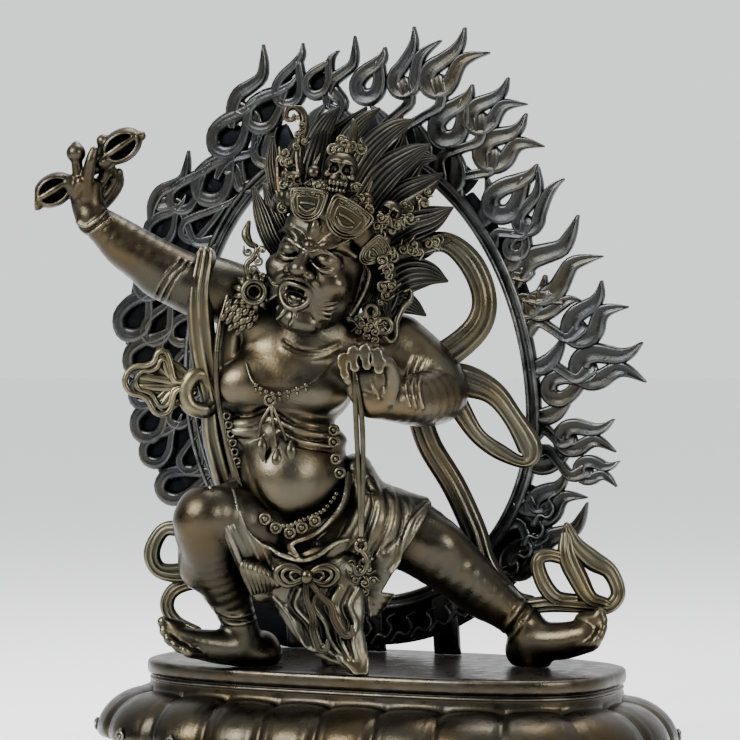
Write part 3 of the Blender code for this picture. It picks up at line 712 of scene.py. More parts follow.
# Flames: shape, column and row of the middle, direction in degrees above the right, size in columns, how
# far its tips are drawn out, and 1 or -1 for the side that leads
FLAMES = (
    (DROP, 368, 86, 62, 14, 1.0, 1), (FORK, 404, 82, 66, 13, 1.35, 1), (FORK, 438, 79, 47, 15, 1.2, 1),
    (DROP, 449, 127, 57, 16, 1.0, 1), (FORK, 481, 117, 38, 14, 1.05, 1), (FORK, 494, 152, 31, 16, 0.95, 1),
    (DROP, 503, 202, 44, 16, 1.05, 1), (FORK, 528, 221, 62, 12, 1.45, -1), (DROP, 517, 247, 50, 11, 0.8, 1),
    (WAVE, 528, 271, 41, 20, 1.0, 1), (WAVE, 545, 291, 38, 18, 1.0, -1), (DROP, 541, 306, 12, 12, 1.1, -1),
    (FORK, 582, 327, 48, 16, 0.95, 1), (FORK, 592, 367, 8, 17, 1.0, 1), (DROP, 560, 388, 20, 14, 1.0, 1),
    (FORK, 572, 438, 6, 14, 1.0, 1), (FORK, 588, 470, -4, 11, 0.9, 1), (FORK, 543, 507, 38, 15, 0.9, 1),
    (WAVE, 548, 548, 42, 16, 1.0, 1), (DROP, 520, 560, 42, 15, 1.0, 1),
    (WAVE, 334, 92, 62, 16, 1.0, 1), (DROP, 318, 84, 62, 13, 1.0, -1), (DROP, 289, 91, 70, 15, 1.1, 1),
    (DROP, 263, 114, 45, 17, 1.1, 1), (WAVE, 240, 108, 62, 19, 0.95, 1), (DROP, 228, 138, 50, 18, 1.1, 1),
    (DROP, 213, 184, 55, 19, 1.05, 1), (DROP, 184, 197, 48, 15, 1.2, 1), (WAVE, 160, 204, 54, 17, 0.95, 1),
    (DROP, 161, 231, 50, 15, 1.0, 1), (DROP, 194, 229, 35, 13, 1.6, 1), (WAVE, 228, 168, 38, 14, 1.0, 1),
    (DROP, 134, 320, 58, 18, 1.0, 1), (DROP, 158, 329, 62, 15, 1.1, -1), (DROP, 184, 331, 45, 14, 1.0, 1),
    (DROP, 143, 358, 45, 17, 1.0, 1), (DROP, 188, 365, 60, 13, 1.0, 1), (DROP, 150, 423, 58, 17, 1.0, 1),
    (DROP, 181, 414, 45, 13, 1.0, 1), (DROP, 157, 450, 50, 15, 1.0, 1), (DROP, 192, 460, 70, 13, 1.4, -1),
    (DROP, 176, 485, 18, 17, 1.2, 1), (DROP, 150, 285, 68, 14, 1.0, 1), (DROP, 146, 392, 55, 15, 1.0, 1),
)
STEM_HALF_WIDTH = 2.8
RING_STEPS = 120
RING_RIMS = ((1.3, 1.5, 3.2), (5.6, 2.1, 3.4), (3.6, 3.0, 2.2))

# Flames before this column stand round pockets that are backed with painted shade: they are wider, with
# thinner strokes
POCKETS_END = 345
POCKET_FORM, PLAIN_FORM = (1.05, 0.95), (1.0, 1.26)

# Low relief behind the legs: how many strokes, the first one's angle and the step in degrees, and its line
RELIEF_COUNT, RELIEF_START, RELIEF_STEP = 15, -19.4, 5.8
RELIEF_LINE = ((0, 0), (0.6, 0.5), (1.4, 0.4), (1.9, 0.9), (1.5, 1.4), (2.2, 1.7))
LUG_ANGLES = (-0.45, 0.0, 0.45)

# Small leaf flames on the ring's outer edge, by angle from its lowest point
LICK = ((-0.1, -0.1, 0.28), (0.35, -0.16, 0.42), (0.85, 0.05, 0.4), (1.3, 0.5, 0.26), (1.6, 1.0, 0.08))
LICK_SIZE = 11.0
LICK_ANGLES = (62, 74, 87, 98, 110, 121, 133, 144, 155, 166, 178, 190, 203, 214)

# Thin webs behind the flames, near-black as painted shade: first and last angle in degrees, reach beyond the
# ring and half width
WEBS = (
    (196, 300, 13, 8), (222, 288, 24, 8), (232, 272, 35, 6), (236, 262, 38, 5), (140, 180, 12, 7),
    (298, 428, 15, 10), (106, 140, 8, 4), (40, 66, 12, 8), (320, 347, 31, 9),
)


def flame_rows(shape, column, row, heading, size, reach, lead):
    """A flame's stroke, as rows of place, half width and half thickness."""
    spread, slim = POCKET_FORM if column < POCKETS_END else PLAIN_FORM
    heading = math.radians(heading)
    along = np.array((math.cos(heading), -math.sin(heading)))
    across = np.array((-along[1], along[0])) * -lead
    rows = []
    for a, b, half in shape:
        drawn = a * reach if a > 1 else a * spread
        place = np.array((column, row)) + (along * drawn + across * b * spread) * size
        half_width = half * slim * size * GRID
        rows.append((*on_aureole(*place), half_width, FLAME_THICKNESS / 2 * min(1.0, 0.5 + half_width / 3)))
    return rows


def stem(middle):
    """A bowed stroke from the ring's nearest point to a flame's middle."""
    angles = [2 * math.pi * k / RING_STEPS for k in range(RING_STEPS)]
    root = min((ring_point(a, RING_BAND * 0.6) for a in angles), key=lambda p: np.linalg.norm(p - middle))
    bow_out = np.cross(middle - root, AWAY)
    return [(*(root + (middle - root) * t + bow_out * 0.16 * math.sin(2 * math.pi * t)),
             STEM_HALF_WIDTH * (1.5 - 0.6 * math.sin(math.pi * t)), FLAME_THICKNESS / 2)
            for t in (0, 0.25, 0.5, 0.75, 1)]


def lick(angle):
    """A small leaf flame on the ring."""
    root = ring_point(angle, RING_BAND * 0.7)
    out = unit(ring_point(angle, 20) - root)
    side = np.cross(AWAY, out)
    side = side if side[2] > 0 else -side
    return [(*(root + (out * a + side * b) * LICK_SIZE), half * LICK_SIZE, FLAME_THICKNESS / 2 * 0.9)
            for a, b, half in LICK]


def relief(angle):
    """A curl of low relief beside the ring."""
    low = ring_point(angle, 20)
    return [(*(low + np.array(((a - 1) * 5.5, -3.2, -4 + b * 9))), 1.5 - 0.3 * a, 1.3)
            for a, b in RELIEF_LINE]


def lug(angle):
    """A short post from the ring down to the platform."""
    top = ring_point(angle, RING_BAND / 2)
    foot = leaning(top[0], PLATFORM - 2)
    return [(*(top + (foot - top) * k / 3), LUG_HALF_WIDTH, FLAME_THICKNESS / 2) for k in range(4)]


def flame_aureole(material, dark):
    """The ring with its rims, flames, curls and lugs, and the near-black webs and pockets behind them, which
    are painted shade.
    """
    skins, shade_sheets = Skins(), Skins()
    behind = WEB_SETBACK * AWAY
    turn = [2 * math.pi * k / RING_STEPS for k in range(RING_STEPS + 2)]
    for reach, half_width, thick in RING_RIMS:
        skins.strand([(*ring_point(a, reach), half_width, thick) for a in turn], ROUND, 1)
    for shape, column, row, heading, size, reach, lead in FLAMES:
        middle = on_aureole(column, row)
        pocket = column < POCKETS_END and shape is DROP
        rows = flame_rows(shape, column, row, heading, size, reach, lead)
        skins.strand(rows, GROOVED if pocket else RIMMED, 3)
        # A near-black bead behind each pocket: painted shade
        if pocket:
            shade_sheets.bead(middle + behind, (size * GRID, WEB_THICKNESS / 2, size * GRID))
        if shape is not DROP:
            skins.strand(stem(middle), RIMMED)
    # Near-black webs behind the flames, which also join them: painted shade in the gaps
    for first, last, reach, half_width in WEBS:
        places = [ring_point(math.radians(a), reach) + behind for a in range(first, last + 1, 3)]
        shade_sheets.strand([(*place, half_width, WEB_THICKNESS / 2) for place in places], ROUND, 1)
    for angle in LICK_ANGLES:
        skins.strand(lick(math.radians(angle)), RIMMED)
    for k in range(RELIEF_COUNT):
        skins.strand(relief(math.radians(RELIEF_START + RELIEF_STEP * k)), ROUND)
    for angle in LUG_ANGLES:
        skins.strand(lug(angle), RIMMED, 2)
    thing = joined("aureole_cast", skins, material, viewed=False)
    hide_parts("flame_aureole")
    joined("aureole_shade_sheets", shade_sheets, dark, viewed=False)


# The figure's trunk and arms

def trunk(material):
    """Chest, belly and left arm, with the hand that holds the noose."""
    clay = Clay((196, 248, -48), (474, 566, 40), 0.92)
    clay.ball((290, 380, 0), (31, 21, 25), 6, 4)
    clay.ball((291, 472, -3), (27.5, 25.5, 29), 0, 7)
    clay.tube(((216, 290, 0, 14.6), (240, 300, 2, 15.6), (280, 334, 2, 17), (330, 345, 3, 18),
               (390, 350, 5, 15)), 5)
    clay.tube(((322, 300, -4, 14), (306, 352, 0, 18)), 4)
    clay.ball((305, 548, 2), (33, 24, 20), 0, 6)
    clay.ball((248, 384, -10), (16, 11, 13), -12, 4)
    clay.ball((314, 388, -13), (17, 9, 11), 10, 4)
    clay.ball((303, 434, -9), (21, 12, 7), 9, 5)
    clay.ball((250, 428, -7), (13, 12, 9), -8, 5)
    clay.ball((290, 480, -8), (22, 23, 22), 0, 6)
    clay.strand(((236, 296, -6, 6, 5), (229, 330, -8, 6, 4), (226, 370, -9, 5.5, 4), (229, 415, -8, 5, 4),
                 (238, 460, -8, 5, 4), (250, 505, -12, 4.5, 4)), 1.2, 4)
    clay.tube(((398, 345, 6, 15), (424, 372, 4, 16), (438, 392, 0, 14.5), (420, 400, -14, 12.5),
               (394, 402, -27, 9.5), (372, 400, -32, 7.6)), 4, 4)
    clay.strand(((376, 404, -33, 8, 6), (370, 388, -34, 11, 5.5), (368, 374, -35, 11.5, 5)), 3)
    clay.tube(((388, 400, -36, 4), (393, 380, -38, 3.8), (388, 364, -42, 3.2), (377, 362, -47, 2.6)), 1.0)
    for k, (column, row) in enumerate(((346, 357), (356, 350), (368, 348), (380, 352))):
        clay.tube(((column + 4 - k, 380, -36, 3.4), (column, row + 8, -37, 3.2),
                   (column - 1, row, -41, 3.0), (column - 3, row + 2, -46, 2.8),
                   (column - 3, row + 12, -49, 2.5), (column - 1, row + 18, -47, 2.1)), 0.4)
    marks = [
        (((225, 416), (240, 415), (253, 414), (264, 410), (270, 411), (280, 416), (302, 426), (327, 429)),
         2.2, -2.2),
        (((276, 424), (288, 432), (302, 438), (327, 442)), 1.9, -1.9),
        (((281, 434), (296, 444), (312, 448), (331, 451)), 1.9, -1.7),
        (((228, 426), (240, 428), (254, 426), (266, 420)), 1.6, -1.2),
        (((232, 437), (244, 440), (256, 439), (264, 434)), 1.6, -0.9),
        (((274, 418), (290, 427), (308, 433), (327, 436)), 2.6, 1.1),
        (((280, 430), (298, 440), (316, 444), (331, 446)), 2.4, 1.0),
        (((244, 452), (252, 478), (262, 500), (282, 516)), 3.0, -0.6),
        (((284, 340), (300, 349), (320, 350), (338, 343)), 1.2, -0.8),
        (((282, 348), (300, 357), (322, 357), (340, 348)), 1.2, 0.5),
        (((415, 356), (408, 374), (406, 392), (410, 406)), 1.6, 0.9),
        (((421, 356), (414, 374), (412, 392), (416, 408)), 1.6, 0.9),
        (((428, 358), (421, 374), (419, 392), (423, 408)), 1.6, 0.9),
        (((418, 356), (411, 374), (409, 392), (413, 408)), 1.0, -0.6),
        (((424, 357), (417, 374), (415, 392), (419, 408)), 1.0, -0.6),
        (((352, 396), (364, 392), (376, 396)), 1.2, -0.7),
        (((372, 366), (374, 384), (380, 396)), 1.3, -0.8),
    ]
    cast("trunk_cast", clay, material, marks)


def raised_arm(material):
    """The right arm with the thunderbolt."""
    clay = Clay((28, 118, -32), (276, 330, 26), 0.7)
    clay.tube(((242, 297, 2, 15), (214, 288, 0, 15), (188, 283, -2, 14.2), (152, 263, -5, 12.6),
               (118, 238, -8, 10), (92, 218, -9, 7.2)), 3, 4)
    clay.ball((158, 279, -4), (10, 9, 8), 30, 4)
    clay.ball((206, 300, -2), (13, 11, 9), 10, 4)
    clay.ball((126, 252, -8), (12, 9, 7.5), 32, 4)
    clay.strand(((92, 220, -9, 7, 6.4), (87, 202, -10, 7.6, 5.4), (89, 186, -11, 6.2, 4.6)), 2)
    clay.tube(((86, 196, -13, 3.2), (88, 176, -15, 3.1), (91, 160, -17, 2.6), (94, 151, -17, 2.2)), 1)
    clay.tube(((93, 196, -10, 3.0), (99, 184, -8, 2.9), (106, 172, -9, 2.5), (101, 162, -14, 2.2)), 1)
    clay.tube(((97, 204, -7, 3.0), (107, 191, -4, 2.9), (114, 178, -4, 2.6), (111, 168, -9, 2.2)), 1)
    clay.tube(((99, 208, -5, 2.8), (110, 198, -2, 2.6), (119, 184, -1, 2.4), (119, 172, -5, 2.0)), 1)
    clay.tube(((80, 204, -8, 3.4), (76, 192, -12, 3.1), (80, 182, -15, 2.6)), 1)
    for column, row, reach, roll in ((54, 190, 10.5, -31), (121, 146, 11.0, -34)):
        clay.ball((column, row, -10), (reach, 8, 7.8), roll, 1)
        clay.ball((column - 1, row + 1, -17.5), (reach - 2.4, 7.4, 5.6), roll, 0.8, carve=True)
        lean = np.array((math.cos(math.radians(roll)), math.sin(math.radians(roll)))) * reach * 0.8 / GRID
        clay.tube(((column - lean[0], row - lean[1], -14, 1.3), (column, row, -14.5, 1.9),
                   (column + lean[0], row + lean[1], -14, 1.1)), 0.6)
    clay.tube(((70, 185, -11, 3), (106, 160, -10, 3)), 1)
    for column, row, radius in ((71, 184, 4.6), (105, 161, 4.4), (37, 204, 3.2), (141, 136, 2.4)):
        clay.ball((column, row, -11), (radius, radius, radius), 0, 0.8)
    clay.ball((76, 153, -14), (4.6, 4.6, 4.6), 0, 1)
    clay.ball((76, 146, -14), (2.2, 2.2, 2.4), 0, 0.8)
    clay.tube(((76, 156, -14, 2.4), (78, 172, -13, 2.8), (80, 184, -12, 2.8)), 1)
    clay.ball((103, 141, -11), (3.2, 3.2, 3.2), 0, 0.8)
    clay.tube(((103, 143, -11, 2), (100, 156, -11, 2.4)), 1)
    clay.tube(((138, 138, -9, 1.9), (144, 133, -9, 0.8)), 0.6)
    marks = [
        (((160, 300), (166, 286), (176, 272), (186, 262)), 1.4, 0.9),
        (((166, 302), (172, 288), (182, 274), (191, 264)), 1.2, 0.7),
        (((154, 297), (160, 283), (170, 269), (180, 259)), 1.2, 0.7),
        (((157, 299), (163, 285), (173, 271), (183, 261)), 0.9, -0.6),
        (((163, 301), (169, 287), (179, 273), (189, 263)), 0.9, -0.6),
        (((78, 222), (86, 226), (96, 221), (106, 212)), 1.8, 1.4),
        (((80, 230), (88, 233), (98, 228), (109, 219)), 1.5, 1.1),
        (((79, 226), (87, 230), (97, 225), (108, 216)), 0.9, -0.7),
    ]
    cast("raised_arm_cast", clay, material, marks)


# The legs

# Toes: column, row and radius, and their joints: shift in columns and rows, depth, its step, and girth
RIGHT_TOES = ((163, 624, 3.6), (164, 633, 3.0), (168, 641, 2.8), (175, 647, 2.6), (184, 652, 2.4))
RIGHT_JOINTS = ((16, 3, -10, 1, 1), (5, 1, -14, 1.6, 0.95), (0, -2, -15, 1.6, 0.8))
LEFT_TOES = ((600, 618, 3.7), (603, 624, 2.9), (603, 631, 2.7), (601, 637, 2.6), (597, 643, 2.4))
LEFT_JOINTS = ((-18, 2, -12, 1.4, 1), (-4, 1, -17, 1.6, 1), (0, -4, -18, 1.6, 0.85))


def toes(clay, places, joints):
    for k, (column, row, radius) in enumerate(places):
        clay.tube([(column + a, row + b, depth - step * k, radius * girth) for a, b, depth, step,
                   girth in joints], 0.9)


def legs(material):
    """Both legs and feet, with their anklets."""
    clay = Clay((140, 486, -48), (628, 672, 42), 1.0)
    clay.tube(((292, 545, 0, 20), (250, 528, -12, 18.5), (208, 517, -24, 15.5), (210, 545, -18, 14.6),
               (220, 575, -10, 12.8), (236, 612, -2, 8.8), (240, 632, 0, 9.5)), 5, 4)
    clay.ball((203, 520, -28), (11, 9, 10), 0, 4)
    clay.ball((198, 556, -12), (9, 9, 15), 10, 5)
    clay.tube(((262, 648, 6, 8.5), (235, 648, -2, 8.5), (205, 645, -8, 7.5), (182, 638, -12, 5.2),
               (168, 629, -14, 3.6)), 3, 4)
    clay.ball((256, 655, 4), (12, 9, 7.5), 0, 4)
    toes(clay, RIGHT_TOES, RIGHT_JOINTS)
    clay.tube(((340, 535, 0, 21), (378, 530, -2, 19), (410, 535, -4, 17.5), (448, 562, -6, 14.8),
               (484, 592, -4, 11.7), (519, 620, -1, 9)), 5, 4)
    clay.ball((440, 545, -12), (12, 10, 11), 35, 5)
    clay.ball((470, 590, -2), (16, 10, 9), 42, 5)
    clay.tube(((528, 628, -1, 9), (535, 652, -2, 8.5), (534, 664, -2, 7)), 3)
    clay.strand(((530, 640, -2, 9, 9), (560, 641, -8, 9, 9), (586, 636, -14, 8, 8)), 3, 4)
    clay.ball((524, 650, 2), (9, 8, 9), 0, 4)
    toes(clay, LEFT_TOES, LEFT_JOINTS)
    clay.cut_below(SEAT)
    marks = [
        (((216, 610), (232, 616), (248, 614), (262, 606)), 2.2, 1.5),
        (((218, 618), (233, 624), (248, 622), (261, 615)), 1.9, 1.2),
        (((217, 614), (233, 620), (248, 618), (262, 611)), 0.9, -0.9),
        (((500, 636), (508, 624), (516, 612), (524, 600)), 2.2, 1.5),
        (((509, 642), (517, 630), (526, 618), (535, 606)), 1.9, 1.2),
        (((505, 639), (513, 627), (521, 615), (530, 603)), 0.9, -0.9),
    ]
    thing = cast("legs_cast", clay, material, marks)
    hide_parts("figure")


# Skirt, apron and bow

def skirt(material):
    """The skirt's cloth over both thighs, its hems and the apron."""
    clay = Clay((196, 452, -52), (456, 692, 36), 0.82)
    clay.strand(((248, 470, 2, 9, 14), (246, 500, 0, 12, 17), (250, 532, -4, 18, 20.5),
                 (266, 566, -8, 15, 14), (276, 588, -8, 7, 6)), 4)
    clay.strand(((356, 470, 2, 8, 14), (366, 500, 0, 12, 18), (384, 528, -3, 19, 21.5),
                 (402, 545, -4, 19, 20.5)), 4, 4)
    clay.ball((308, 575, -18), (30, 14, 14), 0, 4)
    clay.strand(((240, 480, -12, 3, 4), (256, 524, -22, 4, 4), (290, 548, -27, 4.5, 3),
                 (322, 554, -29, 4, 3), (350, 538, -26, 4, 3), (368, 500, -18, 4, 4)), 2)
    clay.strand(((318, 570, -22, 24, 8), (322, 600, -26, 21, 6), (334, 630, -30, 16, 4),
                 (350, 652, -34, 9, 3.5), (364, 679, -37, 2.5, 2.5)), 3, 4)
    clay.strand(((385, 560, -16, 11, 9), (378, 590, -18, 8, 6), (372, 612, -20, 4, 3)), 3)
    clay.strand(((232, 470, 4, 4, 6), (262, 560, -14, 7, 7), (262, 595, -18, 5, 4)), 3)
    clay.strand(((326, 600, 6, 11, 8), (332, 640, 6, 8, 7), (338, 668, 4, 7, 6)), 3)
    clay.tube(((304, 545, 0, 24), (272, 537, -7, 23.4), (250, 530, -12, 22), (232, 525, -16, 20)), 3)
    clay.tube(((340, 536, 0, 23.4), (378, 531, -2, 21.6), (414, 537, -4, 20)), 3)
    clay.ball((291, 472, -3), (26.2, 24, 28), 0, 1.0, carve=True)
    clay.ball((290, 468, -32), (27.0, 30, 40), 0, 1.0, carve=True)
    clay.tube(((232, 487, -10, 1.6), (240, 513, -19, 1.8), (256, 536, -26, 1.9), (272, 550, -29.5, 2),
               (289, 558, -31, 2), (302, 561, -31.5, 2), (318, 556, -31.5, 2), (335, 544, -29, 2),
               (350, 538, -26, 1.6)), 0.6, 4)
    clay.tube(((350, 474, -12, 1.6), (344, 502, -22, 1.9), (328, 524, -27, 1.9), (312, 536, -30, 1.9),
               (296, 542, -30, 1.9), (290, 548, -30, 1.8), (300, 558, -31, 1.6)), 0.6, 4)
    clay.cut_beside((250, 596), (208, 482), 640)
    clay.cut_beside((436, 497), (391, 574), 590)
    clay.cut_beside((418, 478), (436, 512), 590)
    clay.tube(((210, 488, -30, 1.2), (218, 506, -33.5, 1.4), (227, 528, -35.5, 1.5), (237, 553, -33, 1.5),
               (246, 575, -27, 1.3)), 0.6, 4)
    clay.cut_below(SEAT)
    folds = []
    for k in range(3):
        folds.append((((228 + 15 * k, 498 + 8 * k), (238 + 13 * k, 524 + 7 * k), (250 + 11 * k, 550 + 4 * k),
                       (258 + 10 * k, 574)), 3.4, -1.1))
    for k in range(3):
        low = 5 * k
        for lead, width, height in ((15 * k, 2.4, -1.3), (15 * k + 7, 3.2, 0.7)):
            line = (
                (366 + lead, 478 + low), (374 + lead, 502 + low), (368 + lead, 528 + low),
                (356 + lead, 560 - low),
            )
            folds.append((line, width, height))
    for k in range(4):
        folds.append((((294 + 19 * k, 588), (289 + 18 * k, 606), (304 + 15 * k, 624), (312 + 12 * k, 640),
                       (334 + 6 * k, 658)), 2.4, -1.8))
        folds.append((((301 + 19 * k, 588), (296 + 18 * k, 606), (311 + 15 * k, 624), (319 + 11 * k, 640),
                       (338 + 6 * k, 658)), 2.2, 1.2))
    for k in range(5):
        folds.append((((250 + 7 * k, 560 + 2 * k), (247 + 6 * k, 576 + 2 * k), (254 + 4 * k, 592 + k)),
                      1.4, -1.0))
    hems = [
        (((434, 499), (414, 518), (405, 537), (399, 560), (391, 572)), 1.6, 1.4),
        (((429, 500), (409, 518), (400, 537), (394, 560), (387, 570)), 1.2, -0.8),
        (((232, 489), (240, 513), (256, 536), (272, 550), (289, 558), (302, 561), (318, 556), (335, 544),
          (348, 540)), 1.8, 1.5),
        (((348, 473), (343, 502), (327, 524), (312, 536), (296, 542), (292, 547), (300, 559)), 1.6, 1.4),
        (((274, 596), (290, 616), (299, 634), (309, 648), (331, 653), (347, 664), (358, 676)), 1.6, 1.2),
        (((368, 596), (371, 623), (369, 650), (366, 675)), 1.6, 1.2),
    ]
    cast("skirt_cast", clay, material, folds + hems)


BOW_LOOP = ((1, 0), (10, -8), (21, -10), (29, -5), (28, 3), (19, 9), (8, 6), (1, 1))
BOW_TAILS = (
    ((306, 582), (307, 600), (313, 616), (314, 632), (320, 648), (327, 648), (327, 640)),
    ((311, 583), (321, 596), (331, 606), (335, 620), (344, 634), (352, 634), (352, 626)),
)
TAIL_WIDTHS = (1.5, 1.5, 1.8, 2.1, 2.2, 1.6, 0.7)


def bow(skins):
    """The bow's two looped bands, its knot and its two curled tails."""
    for side in (-1, 1):
        for share, thick, depth in ((1.0, 1.7, -34), (0.74, 1.2, -35), (0.46, 1.0, -35)):
            rows = [(307 + side * (1 + (a + 8 * (1 - share)) * share), 576 + b * share, depth, thick, 1.6)
                    for a, b in BOW_LOOP]
            skins.draw(rows, ROUND, 4)
        skins.drop((307 + side * 17, 576, -32), (6.6, 2.0, 4.2))
    skins.drop((307, 577, -37), (3.0, 2.4, 3.6))
    for tail in BOW_TAILS:
        rows = zip(tail, TAIL_WIDTHS)
        skins.draw([(*p, -35.5 - 0.7 * k, width, 0.9) for k, (p, width) in enumerate(rows)], CLOTH, 5)


def shell_cloth(skins):
    """The fan-shaped end of cloth beside the bow."""
    for k in range(8):
        t = k / 7
        (start, middle, end) = (
            (250 + 6 * t, 558 + 2 * t), (243 + 34 * t, 566 + 14 * t), (252 + 24 * t, 594 - 6 * t),
        )
        skins.draw(((*start, -26, 1.2, 1.4), (*middle, -31, 2.2, 2.2), (*end, -27, 1.0, 1.4)), ROUND)


# The head, on axes of its own: right of the face as seen, forward and up

HEAD_ROLL, HEAD_YAW, HEAD_PITCH = 19, math.radians(-19), math.radians(8)


def head_axes():
    """The head's right, forward and up."""
    c, s = math.cos(HEAD_PITCH), math.sin(HEAD_PITCH)
    pitch = np.array(((1, 0, 0), (0, -c, -s), (0, -s, c)))
    c, s = math.cos(HEAD_YAW), math.sin(HEAD_YAW)
    return pitch @ np.array(((c, s, 0), (-s, c, 0), (0, 0, 1))) @ turned(HEAD_ROLL)


HEAD_AXES = head_axes()
HEAD_CENTRE = seen((321, 264, -12))[0]


def face(rows, side=1):
    """Rows of right, forward, up and further values on the head, in the viewer's frame. Side -1 mirrors."""
    rows = np.atleast_2d(np.array(rows, float))
    rows[:, 0] *= side
    return np.column_stack((HEAD_CENTRE + rows[:, :3] @ HEAD_AXES, rows[:, 3:]))


def head(material):
    """The face, with three eyes, fangs, moustache, ears and beard."""
    clay = Clay((256, 190, -52), (404, 352, 26), 0.56, face)

    def lump(x, y, z, sizes, blend=2.0, carve=False):
        clay.ball((x, y, z), sizes, HEAD_AXES, blend, carve)

    lump(0, -2, 2, (21.5, 23, 27), 3)
    lump(1.5, 5, -13, (20.4, 17.4, 18.2), 5)
    lump(0, 15.2, 16, (17, 6.5, 10), 6)
    for side in (-1, 1):
        clay.place = lambda rows: face(rows, side)
        clay.tube(((19.5, 11.4, 9.6, 1.2), (14, 17.6, 12.2, 1.8), (8, 20.8, 10.8, 2.1),
                   (3, 22.2, 6.8, 2.0)), 2)
        lump(9, 16.8, 4.6, (7.0, 5.2, 5.0), 1.6)
        lump(9, 18.0, 4.3, (5.6, 5.2, 3.9), 0.2)
        clay.tube(((15.8, 14.8, 4.4, 0.9), (13, 20.2, 7.4, 1.1), (9, 22.8, 8.3, 1.2), (5, 22.6, 6.0, 1.1),
                   (2.6, 21.6, 2.6, 0.8)), 0.4)
        clay.tube(((15.8, 14.8, 4.0, 0.8), (13, 20.2, 0.9, 0.9), (9, 22.2, -0.2, 1.0), (5, 22.0, 1.0, 0.9),
                   (2.6, 21.6, 2.2, 0.7)), 0.4)
        lump(13.2, 14.6, -5.8, (7.8, 6.0, 6.0), 6)
        lump(4.8, 24.0, -4.4, (3.3, 3.6, 2.8), 1.2)
        lump(4.4, 26.4, -6.6, (1.3, 1.8, 1.2), 0.5, carve=True)
        clay.tube(((6.5, 22.8, -6.4, 1.2), (10.2, 20.5, -9.0, 1.6), (13, 17, -13.5, 1.5),
                   (14, 14, -19, 1.2)), 1.5)
        for k in range(5):
            clay.tube(((8.2, 20.4, -13.6 - 0.8 * k, 0.8), (12.4, 19.2 - 0.2 * k, -14.4 - 1.6 * k, 1.0),
                       (17, 16.6 - 0.4 * k, -11.8 - 2.5 * k, 0.9),
                       (20.8 - 0.9 * k, 13.2, -8.4 - 2.7 * k, 0.4)), 0.1)
        ear = (
            (20, -3, 5, 2.2, 3), (22.6, -3.5, 1, 3.4, 4), (22.4, -3, -8, 2.8, 3.8), (21, -2, -20, 2.6, 3),
        )
        clay.strand(ear, 1.5)
        clay.tube(((22, 0.5, 6, 1.0), (25, 0.5, 2, 1.1), (24.6, 1, -8, 1.0), (22, 1, -18, 1.1)), 0.5)
        lump(23.4, 1.5, -3, (1.2, 2.4, 3.4), 0.6, carve=True)
    clay.place = face
    clay.tube(((0, 21.8, 9, 2.4), (0, 24, 3.5, 2.7), (0, 26.6, -1.6, 3.6)), 1.4)
    for k in range(3):
        clay.tube(((-3.2, 23.2, 4.2 + 2.0 * k, 0.5), (0, 24.6 - 0.6 * k, 5.0 + 2.0 * k, 0.75),
                   (3.2, 23.2, 4.2 + 2.0 * k, 0.5)), 0.4)
    lump(0, 27, -2.8, (4.4, 4.0, 3.5), 1.2)
    lump(0, 22.0, 17.4, (2.6, 1.2, 4.0), 0.8)
    lump(0, 22.9, 17.4, (1.4, 0.8, 2.6), 0.3)
    lump(3.0, 15.2, -26.6, (12, 7.6, 6.4), 4)
    lump(0, 24.5, -15.2, (6.6, 6.5, 4.7), 0.6, carve=True)
    ring = [(7.7 * math.cos(a), 22.6 - 2.0 * math.cos(a) ** 2,
             -15.2 + 5.7 * math.sin(a) + 0.9 * math.cos(2 * a), 1.35)
            for a in (2 * math.pi * k / 16 for k in range(17))]
    clay.tube(ring, 0.5, 2)
    lump(0, 17.8, -16.6, (4.4, 4.4, 2.0), 0.4)
    for k in range(-3, 4):
        lump(k * 1.5, 21.2 - 0.16 * k * k, -11.6, (0.82, 1.0, 1.4), 0.15)
        lump(k * 1.35, 20.8 - 0.16 * k * k, -18.8, (0.74, 0.9, 1.2), 0.15)
    for side in (-1, 1):
        clay.tube(((side * 4.9, 21.2, -11.2, 1.2), (side * 5.1, 21.8, -14.2, 0.5)), 0.2)
        clay.tube(((side * 4.6, 20.6, -18.8, 1.1), (side * 4.6, 21.2, -16.2, 0.4)), 0.2)
    for x, height in ((-6.5, -24.5), (1, -26.5), (8.5, -27.5), (13, -24.5)):
        turns = [(x + (2.3 - 0.3 * k) * math.cos(1.2 * k), 21.2 - 0.07 * x * x,
                  height + (2.3 - 0.3 * k) * math.sin(1.2 * k), 0.75) for k in range(6)]
        clay.tube(turns, 0.3)
    clay.tube(((-2, 21.6, -22.4, 1.4), (-3, 22.6, -25.5, 1.2), (-5, 22, -28.5, 0.8)), 0.5)
    clay.tube(((2.5, 21.6, -22.4, 1.4), (3.2, 22.6, -25.8, 1.2), (2.0, 22.4, -29.0, 0.8)), 0.5)
    marks = []
    brows = (((309, 251), (320, 250), (333, 247), (346, 241), (357, 232)),
             ((306, 251), (299, 246), (290, 240), (280, 236)))
    for line in brows:
        marks.append((line, 1.3, 1.1))
        marks.append(([(c + 1.5, r - 4.5) for c, r in line], 1.3, -0.35))
        for (c, r), (d, q) in zip(line, line[1:]):
            marks.append((((c, r - 2), ((c + d) / 2 + 1, (r + q) / 2 - 6)), 1.1, 0.25))
    marks += [(((296, 228), (303, 232), (306, 239)), 1.3, -0.4),
              (((330, 232), (323, 237), (318, 244)), 1.3, -0.4)]
    cast("head_cast", clay, material, marks)


# Crown

